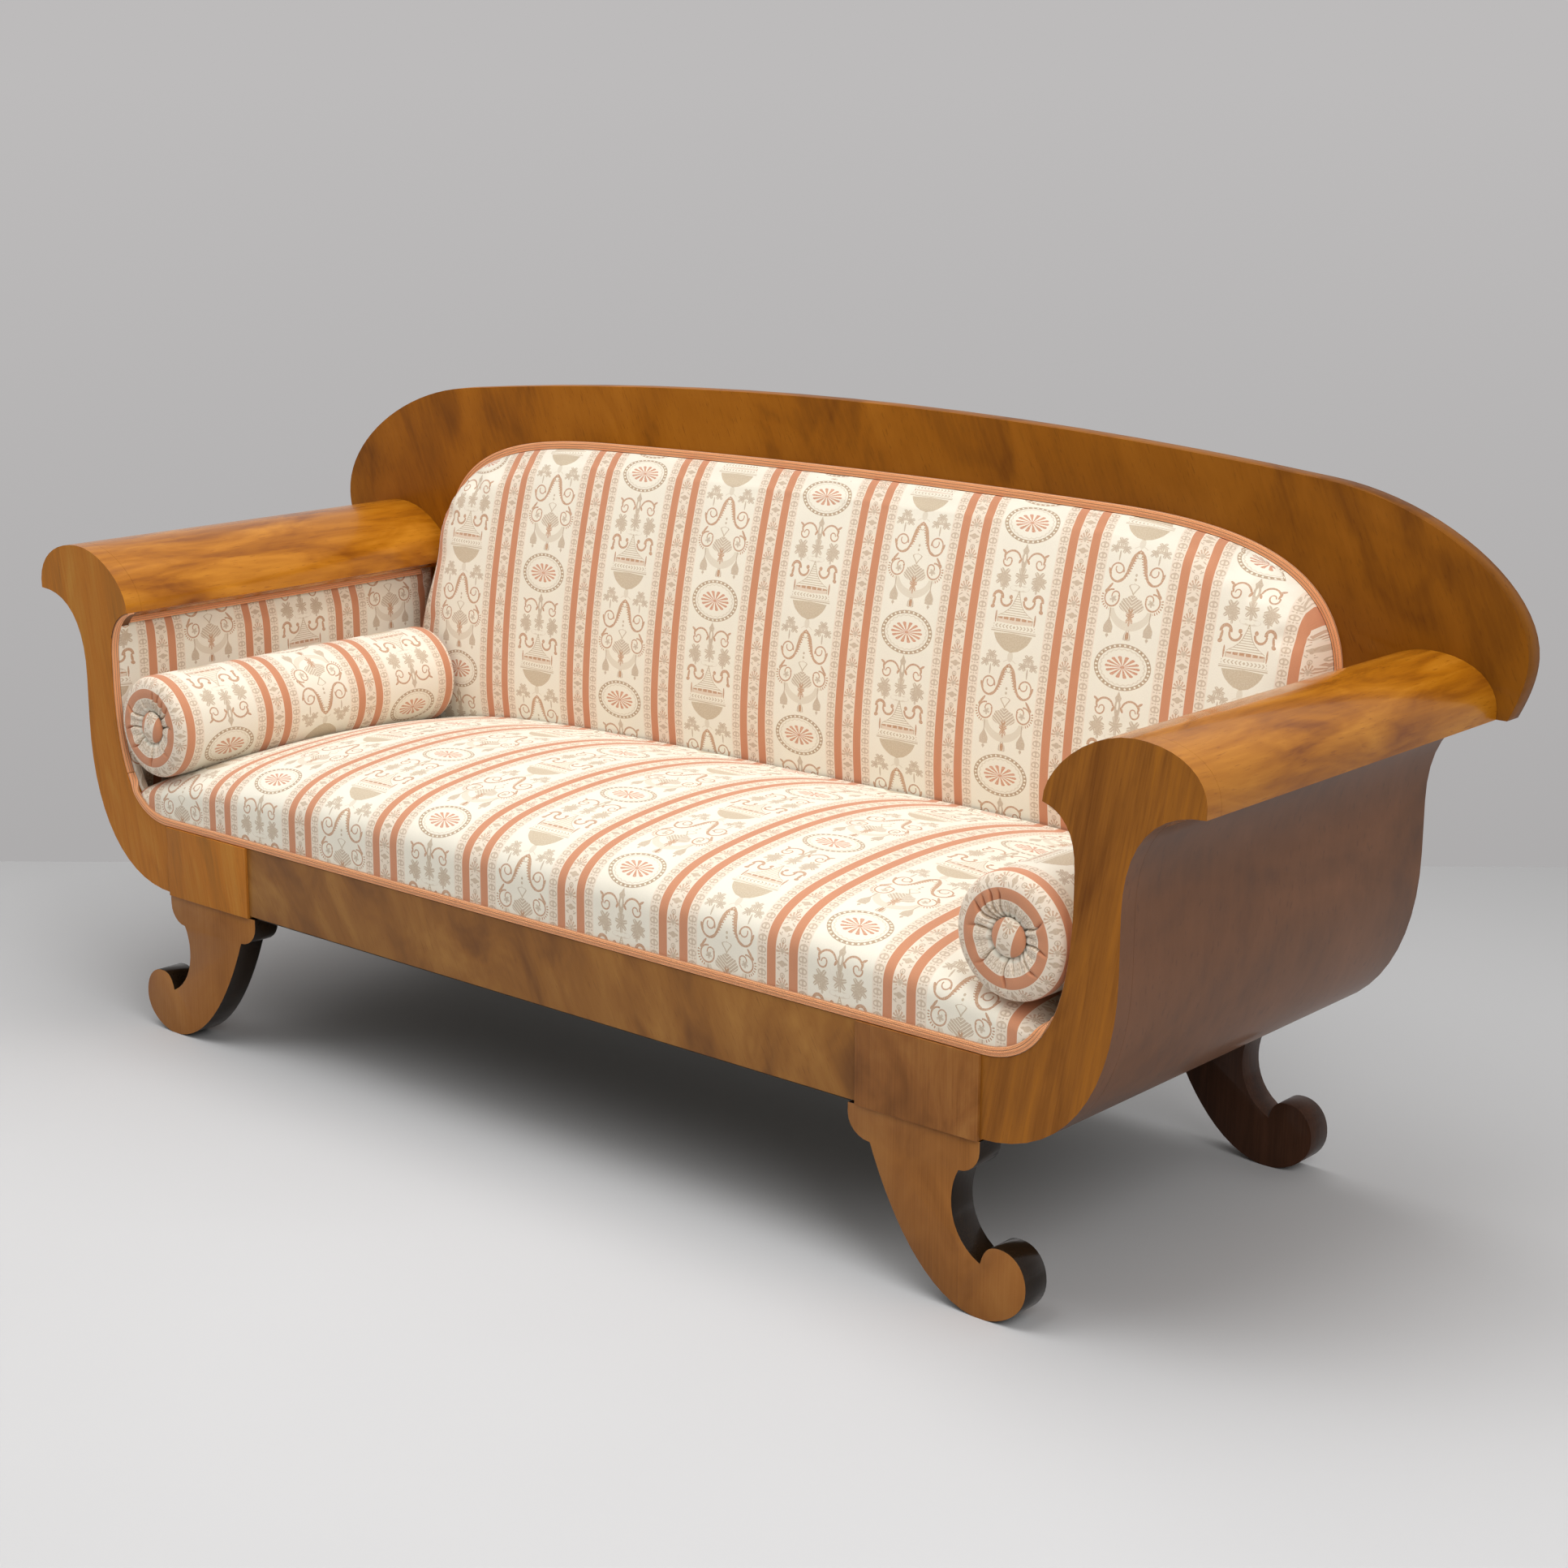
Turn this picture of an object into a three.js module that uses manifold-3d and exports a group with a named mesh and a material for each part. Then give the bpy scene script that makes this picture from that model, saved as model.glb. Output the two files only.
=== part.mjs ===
// Veneered settee with two scroll arms, an arched back board, four scroll feet, a sprung seat,
// stuffed back and arms, braid along every edge of the cover, and two loose bolsters.
//
// Millimetres, +Z up, X along the width, the front faces -Y. Inside this file y is measured
// from the show face of the rails, and the finished group is moved so that its origin is on
// the floor under the middle of the settee.

import * as THREE from 'three';
import { mergeVertices } from 'three/addons/utils/BufferGeometryUtils.js';
import Module from 'manifold-3d';

const wasm = await Module();
wasm.setup();

// Driving dimensions: the whole settee
const setteeDepth = 650;
const backHeight = 921;
const armSpan = 2000;
const seam = 0.3;
const overrun = 5;

// Seat frame: rails between four leg blocks
const railTop = 311;
const railHeight = 98;
const railThickness = 26;
const sideRailThickness = 44;
const crossRailThickness = 30;
const crossRailHeight = 66;
const crossRailLift = 12;
const blockInset = 275.5;
const blockWidth = 176;
const blockDepth = 44;
const blockProud = 4;
const blockDrop = 3;
const armSillWidth = 60;
const armSillHeight = 62;

// Joints of the frame
const tenonThickness = 10;
const tenonHeight = 56;
const tenonLength = 30;
const sideTenonLength = 16;
const legTenonWidth = 50;
const legTenonLength = 34;

// Scroll feet, drawn from the block's outer face inwards and from the floor up
const legThickness = 40;
const legFrontRecess = 3;
const legEarRadius = 29;
const legEarOverhang = 1.5;
const legInnerEarOverhang = 12;
const legInnerEarWidth = 33;
const legEarDepth = 41;
const legWaistInset = 45;
const legCuspInset = 5;
const legCuspHeight = 65.7;
const legCurlRight = 68.5;
const legCurlTop = 90.5;
const legCurlTopOut = 32;
const legCurlMiddle = 50;
const legFlatOut = 14;
const legFlatWidth = 18;
const legRoundShare = 0.55;
const legInsideTopShare = 0.3;
const legInsideLowShare = 0.2;
const legBackLowRunShare = 0.53;
const legBackLowRiseShare = 0.06;
const legBackTopRunShare = 0.2;
const legBackTopRiseShare = 0.54;

// Scroll arms: a flattened roll on a stem that sweeps into the rail
const armPanelThickness = 26;
const rollWidth = 203;
const rollTop = 695;
const rollOuterCorner = 624;
const rollInnerCorner = 610;
const rollPeakInset = 90;
const rollSeat = 600;
const stemInset = 99;
const stemWidth = 60;
const sweepTop = 440;
const flareBottom = 505;
const coveBottom = 540;
const innerSweepTop = 500;
const sidePanelThickness = 18;
const armTopRailThickness = 28;
const armTopRailHeight = 42;
const tackRailThickness = 16;
const tackRailHeight = 50;
const tackRailBottom = 345;

// Arched back board
const boardThickness = 28;
const backOverhang = 36;
const boardShoulderInset = 276;
const boardShoulderDrop = 38.5;
const boardWidestRise = 2;
const boardTipRound = 14;
const boardOpeningMargin = 46;
const boardOpeningBottom = 380;
const boardOpeningInset = 47;
const boardShoulderRiseShare = 0.46;
const openingCornerShare = 0.5;
const openingHandleShare = 0.33;
const uprightWidth = 60;
const uprightThickness = 22;

// Upholstery underneath the covers
const strapWidth = 50;
const strapThickness = 1.5;
const strapLap = 16;
const strapInset = 8;
const clothInset = 4;
const clothThickness = 0.9;
const hessianThickness = 1;
const springRadius = 42;
const springWaist = 30;
const springWire = 4;
const springTurns = 3;
const springTurnSteps = 8;
const springSink = 1;
const springRows = 3;
const springColumns = 6;
const springMarginColumns = 2;
const springRowPitchShare = 0.266;

// Seat pad
const seatFrontInset = 2;
const seatBackGap = 4;
const seatSideGap = 7;
const seatShoulder = 103;
const seatShoulderRound = 113;
const seatShoulderRoundness = 3;
const seatCrown = 33;
const seatCrownPlaceShare = 0.5;
const seatCrownFallShare = 0.957;
const seatShoulderFullness = 3;
const seatShoulderFade = 0.55;
const seatCrownFullness = 4;
const seatCrownFade = 0.8;
const seatCornerShare = 0.33;

// Back pad
const boardReveal = 91;
const backPadShoulderInset = 327;
const backPadShoulderDrop = 6.5;
const backPadWaistDrop = 190;
const backPadHipDrop = 60;
const backPadFoot = 330;
const backPadSideGap = 5;
const backPadThickness = 79;
const backPadTopThickness = 22;
const backPadLeanHeight = 365;
const backPadLeanTopGap = 45;
const backPadEdgeRound = 36;
const backPadLeanPower = 1.9;
const backPadRimShare = 0.12;
const padShoulderRunShare = 0.52;
const padShoulderRiseShare = 0.82;

// Arm pads
const armPadUnderRoll = 32;
const armPadThickness = 19;
const armPadBottom = 330;
const armPadRim = 7;
const armPadTopGap = 2;
const armPadLengthFullness = 8;
const armPadHeightFullness = 6;
const armPadFade = 0.5;

// Braid
const gimpWidth = 14;
const gimpThickness = 3.4;

// Bolsters
const bolsterRadius = 73.5;
const bolsterEndGap = 8;
const bolsterOverhang = 5;
const bolsterEdgeRound = 24;
const bolsterEdgeDepth = 18;
const bolsterDimple = 13;
const pleatDepth = 1.2;
const pleatCount = 20;
const buttonRadius = 22.5;
const buttonHeight = 9;
const buttonSeatShare = 0.7;
const pleatDipShare = 0.24;

// Shares: how far a curve's handles reach along the width and height that it spans
const sweepPullShare = 0.62;
const flareRiseShare = 0.66;
const flareRunShare = 0.62;
const rollOuterBulgeShare = 0.07;
const rollOuterRiseShare = 0.62;
const rollOuterRunShare = 0.61;
const rollInnerRunShare = 0.49;
const rollInnerRiseShare = 0.45;
const coveRunShare = 0.57;
const coveDropShare = 0.09;
const coveEndShare = 0.64;
const innerSweepDropShare = 0.61;
const innerSweepRunShare = 0.72;
const innerSweepLeanShare = 0.026;

// Worked-out places
const railBottom = railTop - railHeight;
const rearFace = setteeDepth - blockProud;
const boardFront = rearFace - boardThickness;
const rollOuterX = armSpan / 2;
const rollInnerX = rollOuterX - rollWidth;
const blockOuterX = rollOuterX - blockInset;
const blockInnerX = blockOuterX - blockWidth;
const blockBottom = railBottom - blockDrop;
const boardWidestX = rollOuterX + backOverhang;
const boardWidestZ = rollTop + boardWidestRise;
const boardShoulderX = boardWidestX - boardShoulderInset;
const boardTipX = rollOuterX + boardTipRound;
const boardOpeningSide = rollInnerX - boardOpeningInset;
const armPadFace = rollInnerX + armPadUnderRoll;
const rollPeakX = rollOuterX - rollPeakInset;
const stemOuterX = rollOuterX - stemInset;
const stemInnerX = stemOuterX - stemWidth;
const armPadBack = armPadFace + armPadThickness;
const webX = armPadBack + seam;
const armRailX = webX + strapThickness + seam;
const armMiddleY = (armPanelThickness + boardFront) / 2;
const seatHalfWidth = armPadFace - seatSideGap;
const hessianBottom = railTop + seam;
const seatBottom = hessianBottom + hessianThickness + seam;
const strapTop = railBottom - seam;
const strapBottom = strapTop - strapThickness;
const clothTop = strapBottom - seam;
const clothBottom = clothTop - clothThickness;
const backStrapFront = boardFront - seam - strapThickness;
const backPadRear = backStrapFront - seam;
const backPadTop = backHeight - boardReveal;
const backPadShoulderX = rollInnerX - backPadShoulderInset;
const backPadWaistZ = backPadTop - backPadWaistDrop;
const backPadHipZ = backPadWaistZ - backPadHipDrop;
const backPadLowerHalfWidth = armPadFace - backPadSideGap;
const backPadLeanEnd = backPadTop - backPadLeanTopGap;
const backPadLeanStart = backPadLeanEnd - backPadLeanHeight;
const seatBackEdge = backPadRear - backPadThickness - seatBackGap;
const seatCrownFront = seatFrontInset + seatCrownPlaceShare * (seatBackEdge - seatFrontInset);
const seatCrownBack = seatCrownFallShare * (seatBackEdge - seatCrownFront);
const bolsterFront = seatFrontInset - bolsterOverhang;
const bolsterLength = seatBackEdge - bolsterFront - bolsterEndGap;
const springPitchX = 2 * blockOuterX / (springColumns + springMarginColumns);
const springPitchY = springRowPitchShare * rearFace;
const liningRear = rearFace + seam + clothThickness;
const seatMiddleY = rearFace / 2;
const sides = { left: -1, right: 1 };
const ends = { front: -1, rear: 1 };

// Colours and finish, read from the photograph
const looks = {
  faceVeneer: { color: 0x9a6228, roughness: 0.32 },
  railVeneer: { color: 0x8c5f2a, roughness: 0.35 },
  rollVeneer: { color: 0xc07a28, roughness: 0.25 },
  sideVeneer: { color: 0x6e4a38, roughness: 0.35 },
  boardVeneer: { color: 0x8a5416, roughness: 0.3 },
  rearLeg: { color: 0x3a2416, roughness: 0.4 },
  innerWood: { color: 0xc4a06c, roughness: 0.7 },
  cover: { color: 0xf1e6d6, roughness: 0.8 },
  braid: { color: 0xd97f58, roughness: 0.85 },
  webbing: { color: 0xb59a6c, roughness: 0.95 },
  lining: { color: 0x4a4238, roughness: 0.95 },
};

const settee = new THREE.Group();
settee.position.y = (blockProud - liningRear) / 2;

// Adds one named piece with a material of its own.
function addPiece(name, geometry, look) {
  const material = new THREE.MeshStandardMaterial({ ...look, metalness: 0 });
  const mesh = new THREE.Mesh(geometry, material);
  mesh.name = name;
  settee.add(mesh);
}

// Adds the right-hand piece and its mirror image on the left.
function addPair(stem, geometry, look) {
  addPiece(`${stem}_right`, geometry, look);
  addPiece(`${stem}_left`, mirrored(geometry), look);
}

// Mirror image across the middle of the settee, with its faces still pointing out.
function mirrored(geometry) {
  const copy = geometry.index ? geometry.toNonIndexed() : geometry.clone();
  copy.scale(-1, 1, 1);
  const position = copy.getAttribute('position');
  const second = new THREE.Vector3();
  const third = new THREE.Vector3();
  for (let first = 0; first < position.count; first += 3) {
    second.fromBufferAttribute(position, first + 1);
    third.fromBufferAttribute(position, first + 2);
    position.setXYZ(first + 1, third.x, third.y, third.z);
    position.setXYZ(first + 2, second.x, second.y, second.z);
  }
  copy.computeVertexNormals();
  return copy;
}

function solidOf(geometry) {
  const bare = geometry.clone();
  bare.deleteAttribute('normal');
  bare.deleteAttribute('uv');
  const merged = mergeVertices(bare);
  return new wasm.Manifold(new wasm.Mesh({
    numProp: 3,
    vertProperties: merged.getAttribute('position').array,
    triVerts: new Uint32Array(merged.index.array),
  }));
}

function geometryOf(solid) {
  const mesh = solid.getMesh();
  const geometry = new THREE.BufferGeometry();
  geometry.setAttribute('position', new THREE.BufferAttribute(mesh.vertProperties, 3));
  geometry.setIndex(new THREE.BufferAttribute(mesh.triVerts, 1));
  geometry.computeVertexNormals();
  return geometry;
}

function joined(first, ...others) {
  let solid = solidOf(first);
  for (const other of others) solid = solid.add(solidOf(other));
  return geometryOf(solid);
}

function carved(body, ...tools) {
  let solid = solidOf(body);
  for (const tool of tools) solid = solid.subtract(solidOf(tool));
  return geometryOf(solid);
}

// Box between two corners.
function block(x0, x1, y0, y1, z0, z1) {
  const geometry = new THREE.BoxGeometry(x1 - x0, y1 - y0, z1 - z0);
  geometry.translate((x0 + x1) / 2, (y0 + y1) / 2, (z0 + z1) / 2);
  return geometry;
}

// Outline in the front view (x, z), given thickness from yFront to yBack.
function slab(points, yFront, yBack, hole) {
  const outline = THREE.ShapeUtils.isClockWise(points) ? [...points].reverse() : points;
  const shape = new THREE.Shape(outline);
  if (hole) shape.holes.push(new THREE.Path(hole));
  const geometry = new THREE.ExtrudeGeometry(shape, { depth: yBack - yFront, bevelEnabled: false });
  geometry.rotateX(Math.PI / 2);
  geometry.translate(0, yBack, 0);
  return geometry;
}

function at(x, z) {
  return new THREE.Vector2(x, z);
}

// Points along a cubic curve through four (x, z) handles.
function bend(start, startHandle, endHandle, end, steps) {
  return new THREE.CubicBezierCurve(start, startHandle, endHandle, end).getPoints(steps);
}

// Joins runs of points end to end and drops the repeated ones.
function chain(...runs) {
  const kept = [];
  for (const point of runs.flat()) {
    if (!kept.length || kept.at(-1).distanceTo(point) > seam / 2) kept.push(point);
  }
  if (kept[0].distanceTo(kept.at(-1)) < seam / 2) kept.pop();
  return kept;
}

// Keeps the part of a closed outline above (keep = 1) or below (keep = -1) a limit on one axis.
function clipped(points, axis, limit, keep) {
  const kept = [];
  points.forEach((point, index) => {
    const next = points[(index + 1) % points.length];
    const here = (point[axis] - limit) * keep;
    const there = (next[axis] - limit) * keep;
    if (here >= 0) kept.push(point);
    if (here * there < 0) kept.push(point.clone().lerp(next, here / (here - there)));
  });
  return kept;
}

// The same open run of points moved sideways; positive is to the left of its direction.
function moved(points, distance) {
  return points.map((point, index) => {
    const before = points[Math.max(index - 1, 0)];
    const after = points[Math.min(index + 1, points.length - 1)];
    const along = after.clone().sub(before).normalize();
    return at(point.x - along.y * distance, point.y + along.x * distance);
  });
}

// Closed strip between two offsets of an open run of points.
function strip(points, near, far) {
  return [...moved(points, near), ...moved(points, far).reverse()];
}

// A superellipse quarter: 1 at the middle, 0 at the edge.
function dome(share, fullness, edge) {
  return Math.pow(Math.max(1 - Math.pow(Math.min(Math.abs(share), 1), fullness), 0), edge);
}

// Indexed solid from points and triangles, turned so that its faces point out.
function closedSolid(positions, index) {
  const corners = [new THREE.Vector3(), new THREE.Vector3(), new THREE.Vector3()];
  let volume = 0;
  for (let first = 0; first < index.length; first += 3) {
    corners.forEach((corner, step) => corner.fromArray(positions, index[first + step] * 3));
    volume += corners[0].dot(corners[1].clone().cross(corners[2]));
  }
  if (volume < 0) index.reverse();
  const geometry = new THREE.BufferGeometry();
  geometry.setAttribute('position', new THREE.Float32BufferAttribute(positions, 3));
  geometry.setIndex(index);
  geometry.computeVertexNormals();
  return geometry;
}

// Closed solid from rings of points, each ring inside the next; both ends close on a point.
function ringSolid(rings) {
  const count = rings[0].length;
  const positions = [];
  const index = [];
  const middleOf = (ring) => ring.reduce((sum, p) => sum.add(p), new THREE.Vector3()).divideScalar(count);
  const start = middleOf(rings[0]);
  const finish = middleOf(rings.at(-1));
  for (const point of [start, ...rings.flat(), finish]) positions.push(point.x, point.y, point.z);
  const last = 1 + rings.length * count;
  for (let i = 0; i < count; i += 1) {
    const j = (i + 1) % count;
    index.push(0, 1 + j, 1 + i);
    for (let ring = 0; ring < rings.length - 1; ring += 1) {
      const base = 1 + ring * count;
      index.push(base + i, base + j, base + count + i, base + j, base + count + j, base + count + i);
    }
    index.push(last, last - count + i, last - count + j);
  }
  return closedSolid(positions, index);
}

// Pad with a flat underside and a shaped top over a grid of columns and rows.
function gridPad(columns, rows, bottomAt, topAt) {
  const loop = [];
  const wide = columns.length;
  const deep = rows.length;
  const positions = [];
  const index = [];
  for (const level of [bottomAt, topAt]) {
    for (const row of rows) {
      for (const column of columns) positions.push(...level(column, row).toArray());
    }
  }
  const top = wide * deep;
  for (let row = 0; row < deep - 1; row += 1) {
    for (let column = 0; column < wide - 1; column += 1) {
      const corner = row * wide + column;
      const across = corner + 1;
      const behind = corner + wide;
      index.push(corner, behind, across, across, behind, behind + 1);
      index.push(top + corner, top + across, top + behind, top + across, top + behind + 1, top + behind);
    }
  }
  for (let column = 0; column < wide - 1; column += 1) loop.push(column);
  for (let row = 0; row < deep - 1; row += 1) loop.push(row * wide + wide - 1);
  for (let column = wide - 1; column > 0; column -= 1) loop.push((deep - 1) * wide + column);
  for (let row = deep - 1; row > 0; row -= 1) loop.push(row * wide);
  loop.forEach((corner, step) => {
    const next = loop[(step + 1) % loop.length];
    index.push(corner, next, top + corner, next, top + next, top + corner);
  });
  return closedSolid(positions, index);
}

// Arm outline in the front view, as runs that the other pieces share
const sweepWidth = stemOuterX - blockOuterX;
const outerSweep = bend(
  at(blockOuterX + seam, railBottom),
  at(blockOuterX + sweepPullShare * sweepWidth, railBottom),
  at(stemOuterX, sweepTop - sweepPullShare * (sweepTop - railBottom)),
  at(stemOuterX, sweepTop),
  14,
);
const flareRise = rollOuterCorner - flareBottom;
const flare = bend(
  at(stemOuterX, flareBottom),
  at(stemOuterX, flareBottom + flareRiseShare * flareRise),
  at(rollOuterX - flareRunShare * stemInset, rollOuterCorner),
  at(rollOuterX, rollOuterCorner),
  10,
);
const rollOuterRise = rollTop - rollOuterCorner;
const rollOuterSide = bend(
  at(rollOuterX, rollOuterCorner),
  at(rollOuterX + rollOuterBulgeShare * rollPeakInset, rollOuterCorner + rollOuterRiseShare * rollOuterRise),
  at(rollPeakX + rollOuterRunShare * rollPeakInset, rollTop),
  at(rollPeakX, rollTop),
  10,
);
const rollInnerRun = rollPeakX - rollInnerX;
const rollInnerSide = bend(
  at(rollPeakX, rollTop),
  at(rollPeakX - rollInnerRunShare * rollInnerRun, rollTop),
  at(rollInnerX, rollInnerCorner + rollInnerRiseShare * (rollTop - rollInnerCorner)),
  at(rollInnerX, rollInnerCorner),
  10,
);
const coveRun = stemInnerX - rollInnerX;
const coveDrop = rollInnerCorner - coveBottom;
const cove = bend(
  at(rollInnerX, rollInnerCorner),
  at(rollInnerX + coveRunShare * coveRun, rollInnerCorner - coveDropShare * coveDrop),
  at(stemInnerX, coveBottom + coveEndShare * coveDrop),
  at(stemInnerX, coveBottom),
  8,
);
const innerSweepRun = stemInnerX - blockOuterX;
const innerSweepDrop = innerSweepTop - railTop;
const innerSweep = bend(
  at(stemInnerX, innerSweepTop),
  at(stemInnerX - innerSweepLeanShare * innerSweepRun, innerSweepTop - innerSweepDropShare * innerSweepDrop),
  at(blockOuterX + innerSweepRunShare * innerSweepRun, railTop),
  at(blockOuterX + seam, railTop),
  14,
);
const armOuterSide = chain(outerSweep, flare);
const armOutline = chain(armOuterSide, rollOuterSide, rollInnerSide, cove, innerSweep);

// Seat frame
function addLegBlocks() {
  const legTenonX = (blockInnerX + blockOuterX) / 2;
  const tenonBottom = railBottom + (railHeight - tenonHeight) / 2;
  const tenonTop = tenonBottom + tenonHeight;
  const faces = { front: [-blockProud, blockDepth - blockProud], rear: [rearFace - blockDepth, rearFace] };
  for (const [end, [faceNear, faceFar]] of Object.entries(faces)) {
    const railY = end === 'front' ? railThickness / 2 : rearFace - railThickness / 2;
    const inward = -ends[end];
    const innerFace = end === 'front' ? faceFar : faceNear;
    const legY = legMiddle(end);
    const body = block(blockInnerX, blockOuterX, faceNear, faceFar, blockBottom, railTop);
    const railMortise = mortise(blockInnerX, 1, railY, tenonLength, tenonBottom, tenonTop);
    const armMortise = mortise(blockOuterX, -1, railY, tenonLength, tenonBottom, tenonTop);
    const sideX = blockOuterX - sideRailThickness / 2;
    const sideEnd = innerFace - inward * (sideTenonLength + seam);
    const sideMortise = block(
      sideX - tenonThickness / 2 - seam, sideX + tenonThickness / 2 + seam,
      Math.min(sideEnd, innerFace + inward * overrun), Math.max(sideEnd, innerFace + inward * overrun),
      tenonBottom - seam, tenonTop + seam,
    );
    const legMortise = block(
      legTenonX - legTenonWidth / 2 - seam, legTenonX + legTenonWidth / 2 + seam,
      legY - tenonThickness / 2 - seam, legY + tenonThickness / 2 + seam,
      blockBottom - overrun, blockBottom + legTenonLength + seam,
    );
    const tools = [railMortise, sideMortise, legMortise];
    if (end === 'front') tools.push(armMortise);
    addPair(`leg_block_${end}`, carved(body, ...tools), looks.faceVeneer);
  }
}

// Slot for a rail's tenon, cut from an end face at x towards the middle of the piece.
function mortise(x, direction, y, length, bottom, top) {
  const far = x + direction * (length + seam);
  const near = x - direction * overrun;
  return block(
    Math.min(near, far), Math.max(near, far),
    y - tenonThickness / 2 - seam, y + tenonThickness / 2 + seam,
    bottom - seam, top + seam,
  );
}

// Front and back rails with a tenon at each end, and slots for the cross rails.
function addLongRails() {
  const half = blockInnerX - seam;
  const tenonBottom = railBottom + (railHeight - tenonHeight) / 2;
  const places = { front_rail: [0, railThickness], back_rail: [rearFace - railThickness, rearFace] };
  const finishes = { front_rail: looks.railVeneer, back_rail: looks.innerWood };
  for (const [name, [near, far]] of Object.entries(places)) {
    const middle = (near + far) / 2;
    const tenon = block(
      -half - tenonLength, half + tenonLength,
      middle - tenonThickness / 2, middle + tenonThickness / 2,
      tenonBottom, tenonBottom + tenonHeight,
    );
    const face = name === 'front_rail' ? far : near;
    const slots = Object.values(sides).map((side) => block(
      side * springPitchX - tenonThickness / 2 - seam, side * springPitchX + tenonThickness / 2 + seam,
      face - sideTenonLength - seam, face + sideTenonLength + seam,
      crossTenonBottom() - seam, crossTenonBottom() + crossTenonHeight() + seam,
    ));
    const rail = joined(block(-half, half, near, far, railBottom, railTop), tenon);
    addPiece(name, carved(rail, ...slots), finishes[name]);
  }
}

function crossTenonHeight() {
  return crossRailHeight / 2;
}

function crossTenonBottom() {
  return railBottom + crossRailLift + (crossRailHeight - crossTenonHeight()) / 2;
}

// Cross rails that brace the long rails between the rows of springs.
function addCrossRails() {
  const near = railThickness + seam;
  const far = rearFace - railThickness - seam;
  const bottom = railBottom + crossRailLift;
  const half = crossRailThickness / 2;
  const rail = block(springPitchX - half, springPitchX + half, near, far, bottom, bottom + crossRailHeight);
  const tenon = block(
    springPitchX - tenonThickness / 2, springPitchX + tenonThickness / 2,
    near - sideTenonLength, far + sideTenonLength,
    crossTenonBottom(), crossTenonBottom() + crossTenonHeight(),
  );
  addPair('cross_rail', joined(rail, tenon), looks.innerWood);
}

// Side rails between the leg blocks, and the sill beside each that carries the arm.
function addSideRails() {
  const near = blockDepth - blockProud + seam;
  const far = rearFace - blockDepth - seam;
  const middle = blockOuterX - sideRailThickness / 2;
  const tenonBottom = railBottom + (railHeight - tenonHeight) / 2;
  const rail = block(blockOuterX - sideRailThickness, blockOuterX, near, far, railBottom, railTop);
  const tenon = block(
    middle - tenonThickness / 2, middle + tenonThickness / 2,
    near - sideTenonLength, far + sideTenonLength,
    tenonBottom, tenonBottom + tenonHeight,
  );
  addPair('side_rail', joined(rail, tenon), looks.innerWood);
  const sill = block(
    blockOuterX + seam, blockOuterX + seam + armSillWidth,
    armPanelThickness + seam, rearFace,
    railTop - armSillHeight, railTop,
  );
  addPair('arm_sill', sill, looks.innerWood);
}

// Scroll feet
function legMiddle(end) {
  const frontLeg = legFrontRecess - blockProud + legThickness / 2;
  return end === 'front' ? frontLeg : rearFace - legThickness / 2;
}

// Foot outline: two ears under the block, a C-shaped inside, a curl and a long back.
function legOutline() {
  const top = blockBottom - seam;
  const out = blockOuterX;
  const earX = out + legEarOverhang;
  const innerEarX = blockInnerX - legInnerEarOverhang;
  const notchZ = top - legEarDepth;
  const notchX = earX - legEarRadius;
  const innerNotchX = innerEarX + legInnerEarWidth;
  const waistX = out - legWaistInset;
  const cusp = at(out + legCuspInset, legCuspHeight);
  const curlTop = at(out + legCurlTopOut, legCurlTop);
  const curlSide = at(out + legCurlRight, legCurlMiddle);
  const flatStart = at(out + legFlatOut, 0);
  const flatEnd = at(out + legFlatOut - legFlatWidth, 0);
  const earDrop = notchZ + legEarRadius;
  const roundDrop = earDrop - legRoundShare * legEarRadius;
  const insideDrop = notchZ - cusp.y;
  const backRun = flatEnd.x - innerNotchX;
  const outerEar = bend(
    at(earX, earDrop),
    at(earX, roundDrop),
    at(notchX + legRoundShare * legEarRadius, notchZ),
    at(notchX, notchZ),
    6,
  );
  const inside = bend(
    at(notchX, notchZ),
    at(waistX, notchZ - legInsideTopShare * insideDrop),
    at(waistX + legCuspInset, cusp.y + legInsideLowShare * insideDrop),
    cusp,
    12,
  );
  const curlStart = bend(
    cusp,
    at(cusp.x + legCuspInset, curlTop.y - legCuspInset),
    at(curlTop.x - legFlatOut, curlTop.y),
    curlTop,
    7,
  );
  const curlOver = bend(
    curlTop,
    at(curlSide.x - legFlatOut, curlTop.y),
    at(curlSide.x, curlTop.y - legFlatWidth),
    curlSide,
    10,
  );
  const curlUnder = bend(
    curlSide,
    at(curlSide.x, curlSide.y / 2),
    at(curlTop.x + legFlatOut, legCuspInset),
    flatStart,
    12,
  );
  const back = bend(
    flatEnd,
    at(innerNotchX + legBackLowRunShare * backRun, legBackLowRiseShare * notchZ),
    at(innerNotchX + legBackTopRunShare * backRun, legBackTopRiseShare * notchZ),
    at(innerNotchX, notchZ),
    14,
  );
  const innerEar = bend(
    at(innerNotchX, notchZ),
    at(innerNotchX - legRoundShare * legInnerEarWidth, notchZ),
    at(innerEarX, roundDrop),
    at(innerEarX, earDrop),
    6,
  );
  const curl = [...curlStart, ...curlOver, ...curlUnder];
  return chain([at(earX, top)], outerEar, inside, curl, back, innerEar, [at(innerEarX, top)]);
}

function addLegs() {
  const middleX = (blockInnerX + blockOuterX) / 2;
  const finishes = { front: looks.faceVeneer, rear: looks.rearLeg };
  for (const end of Object.keys(ends)) {
    const y = legMiddle(end);
    const foot = slab(legOutline(), y - legThickness / 2, y + legThickness / 2);
    const tenon = block(
      middleX - legTenonWidth / 2, middleX + legTenonWidth / 2,
      y - tenonThickness / 2, y + tenonThickness / 2,
      blockBottom - seam - overrun, blockBottom + legTenonLength,
    );
    addPair(`leg_${end}`, joined(foot, tenon), finishes[end]);
  }
}

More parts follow.
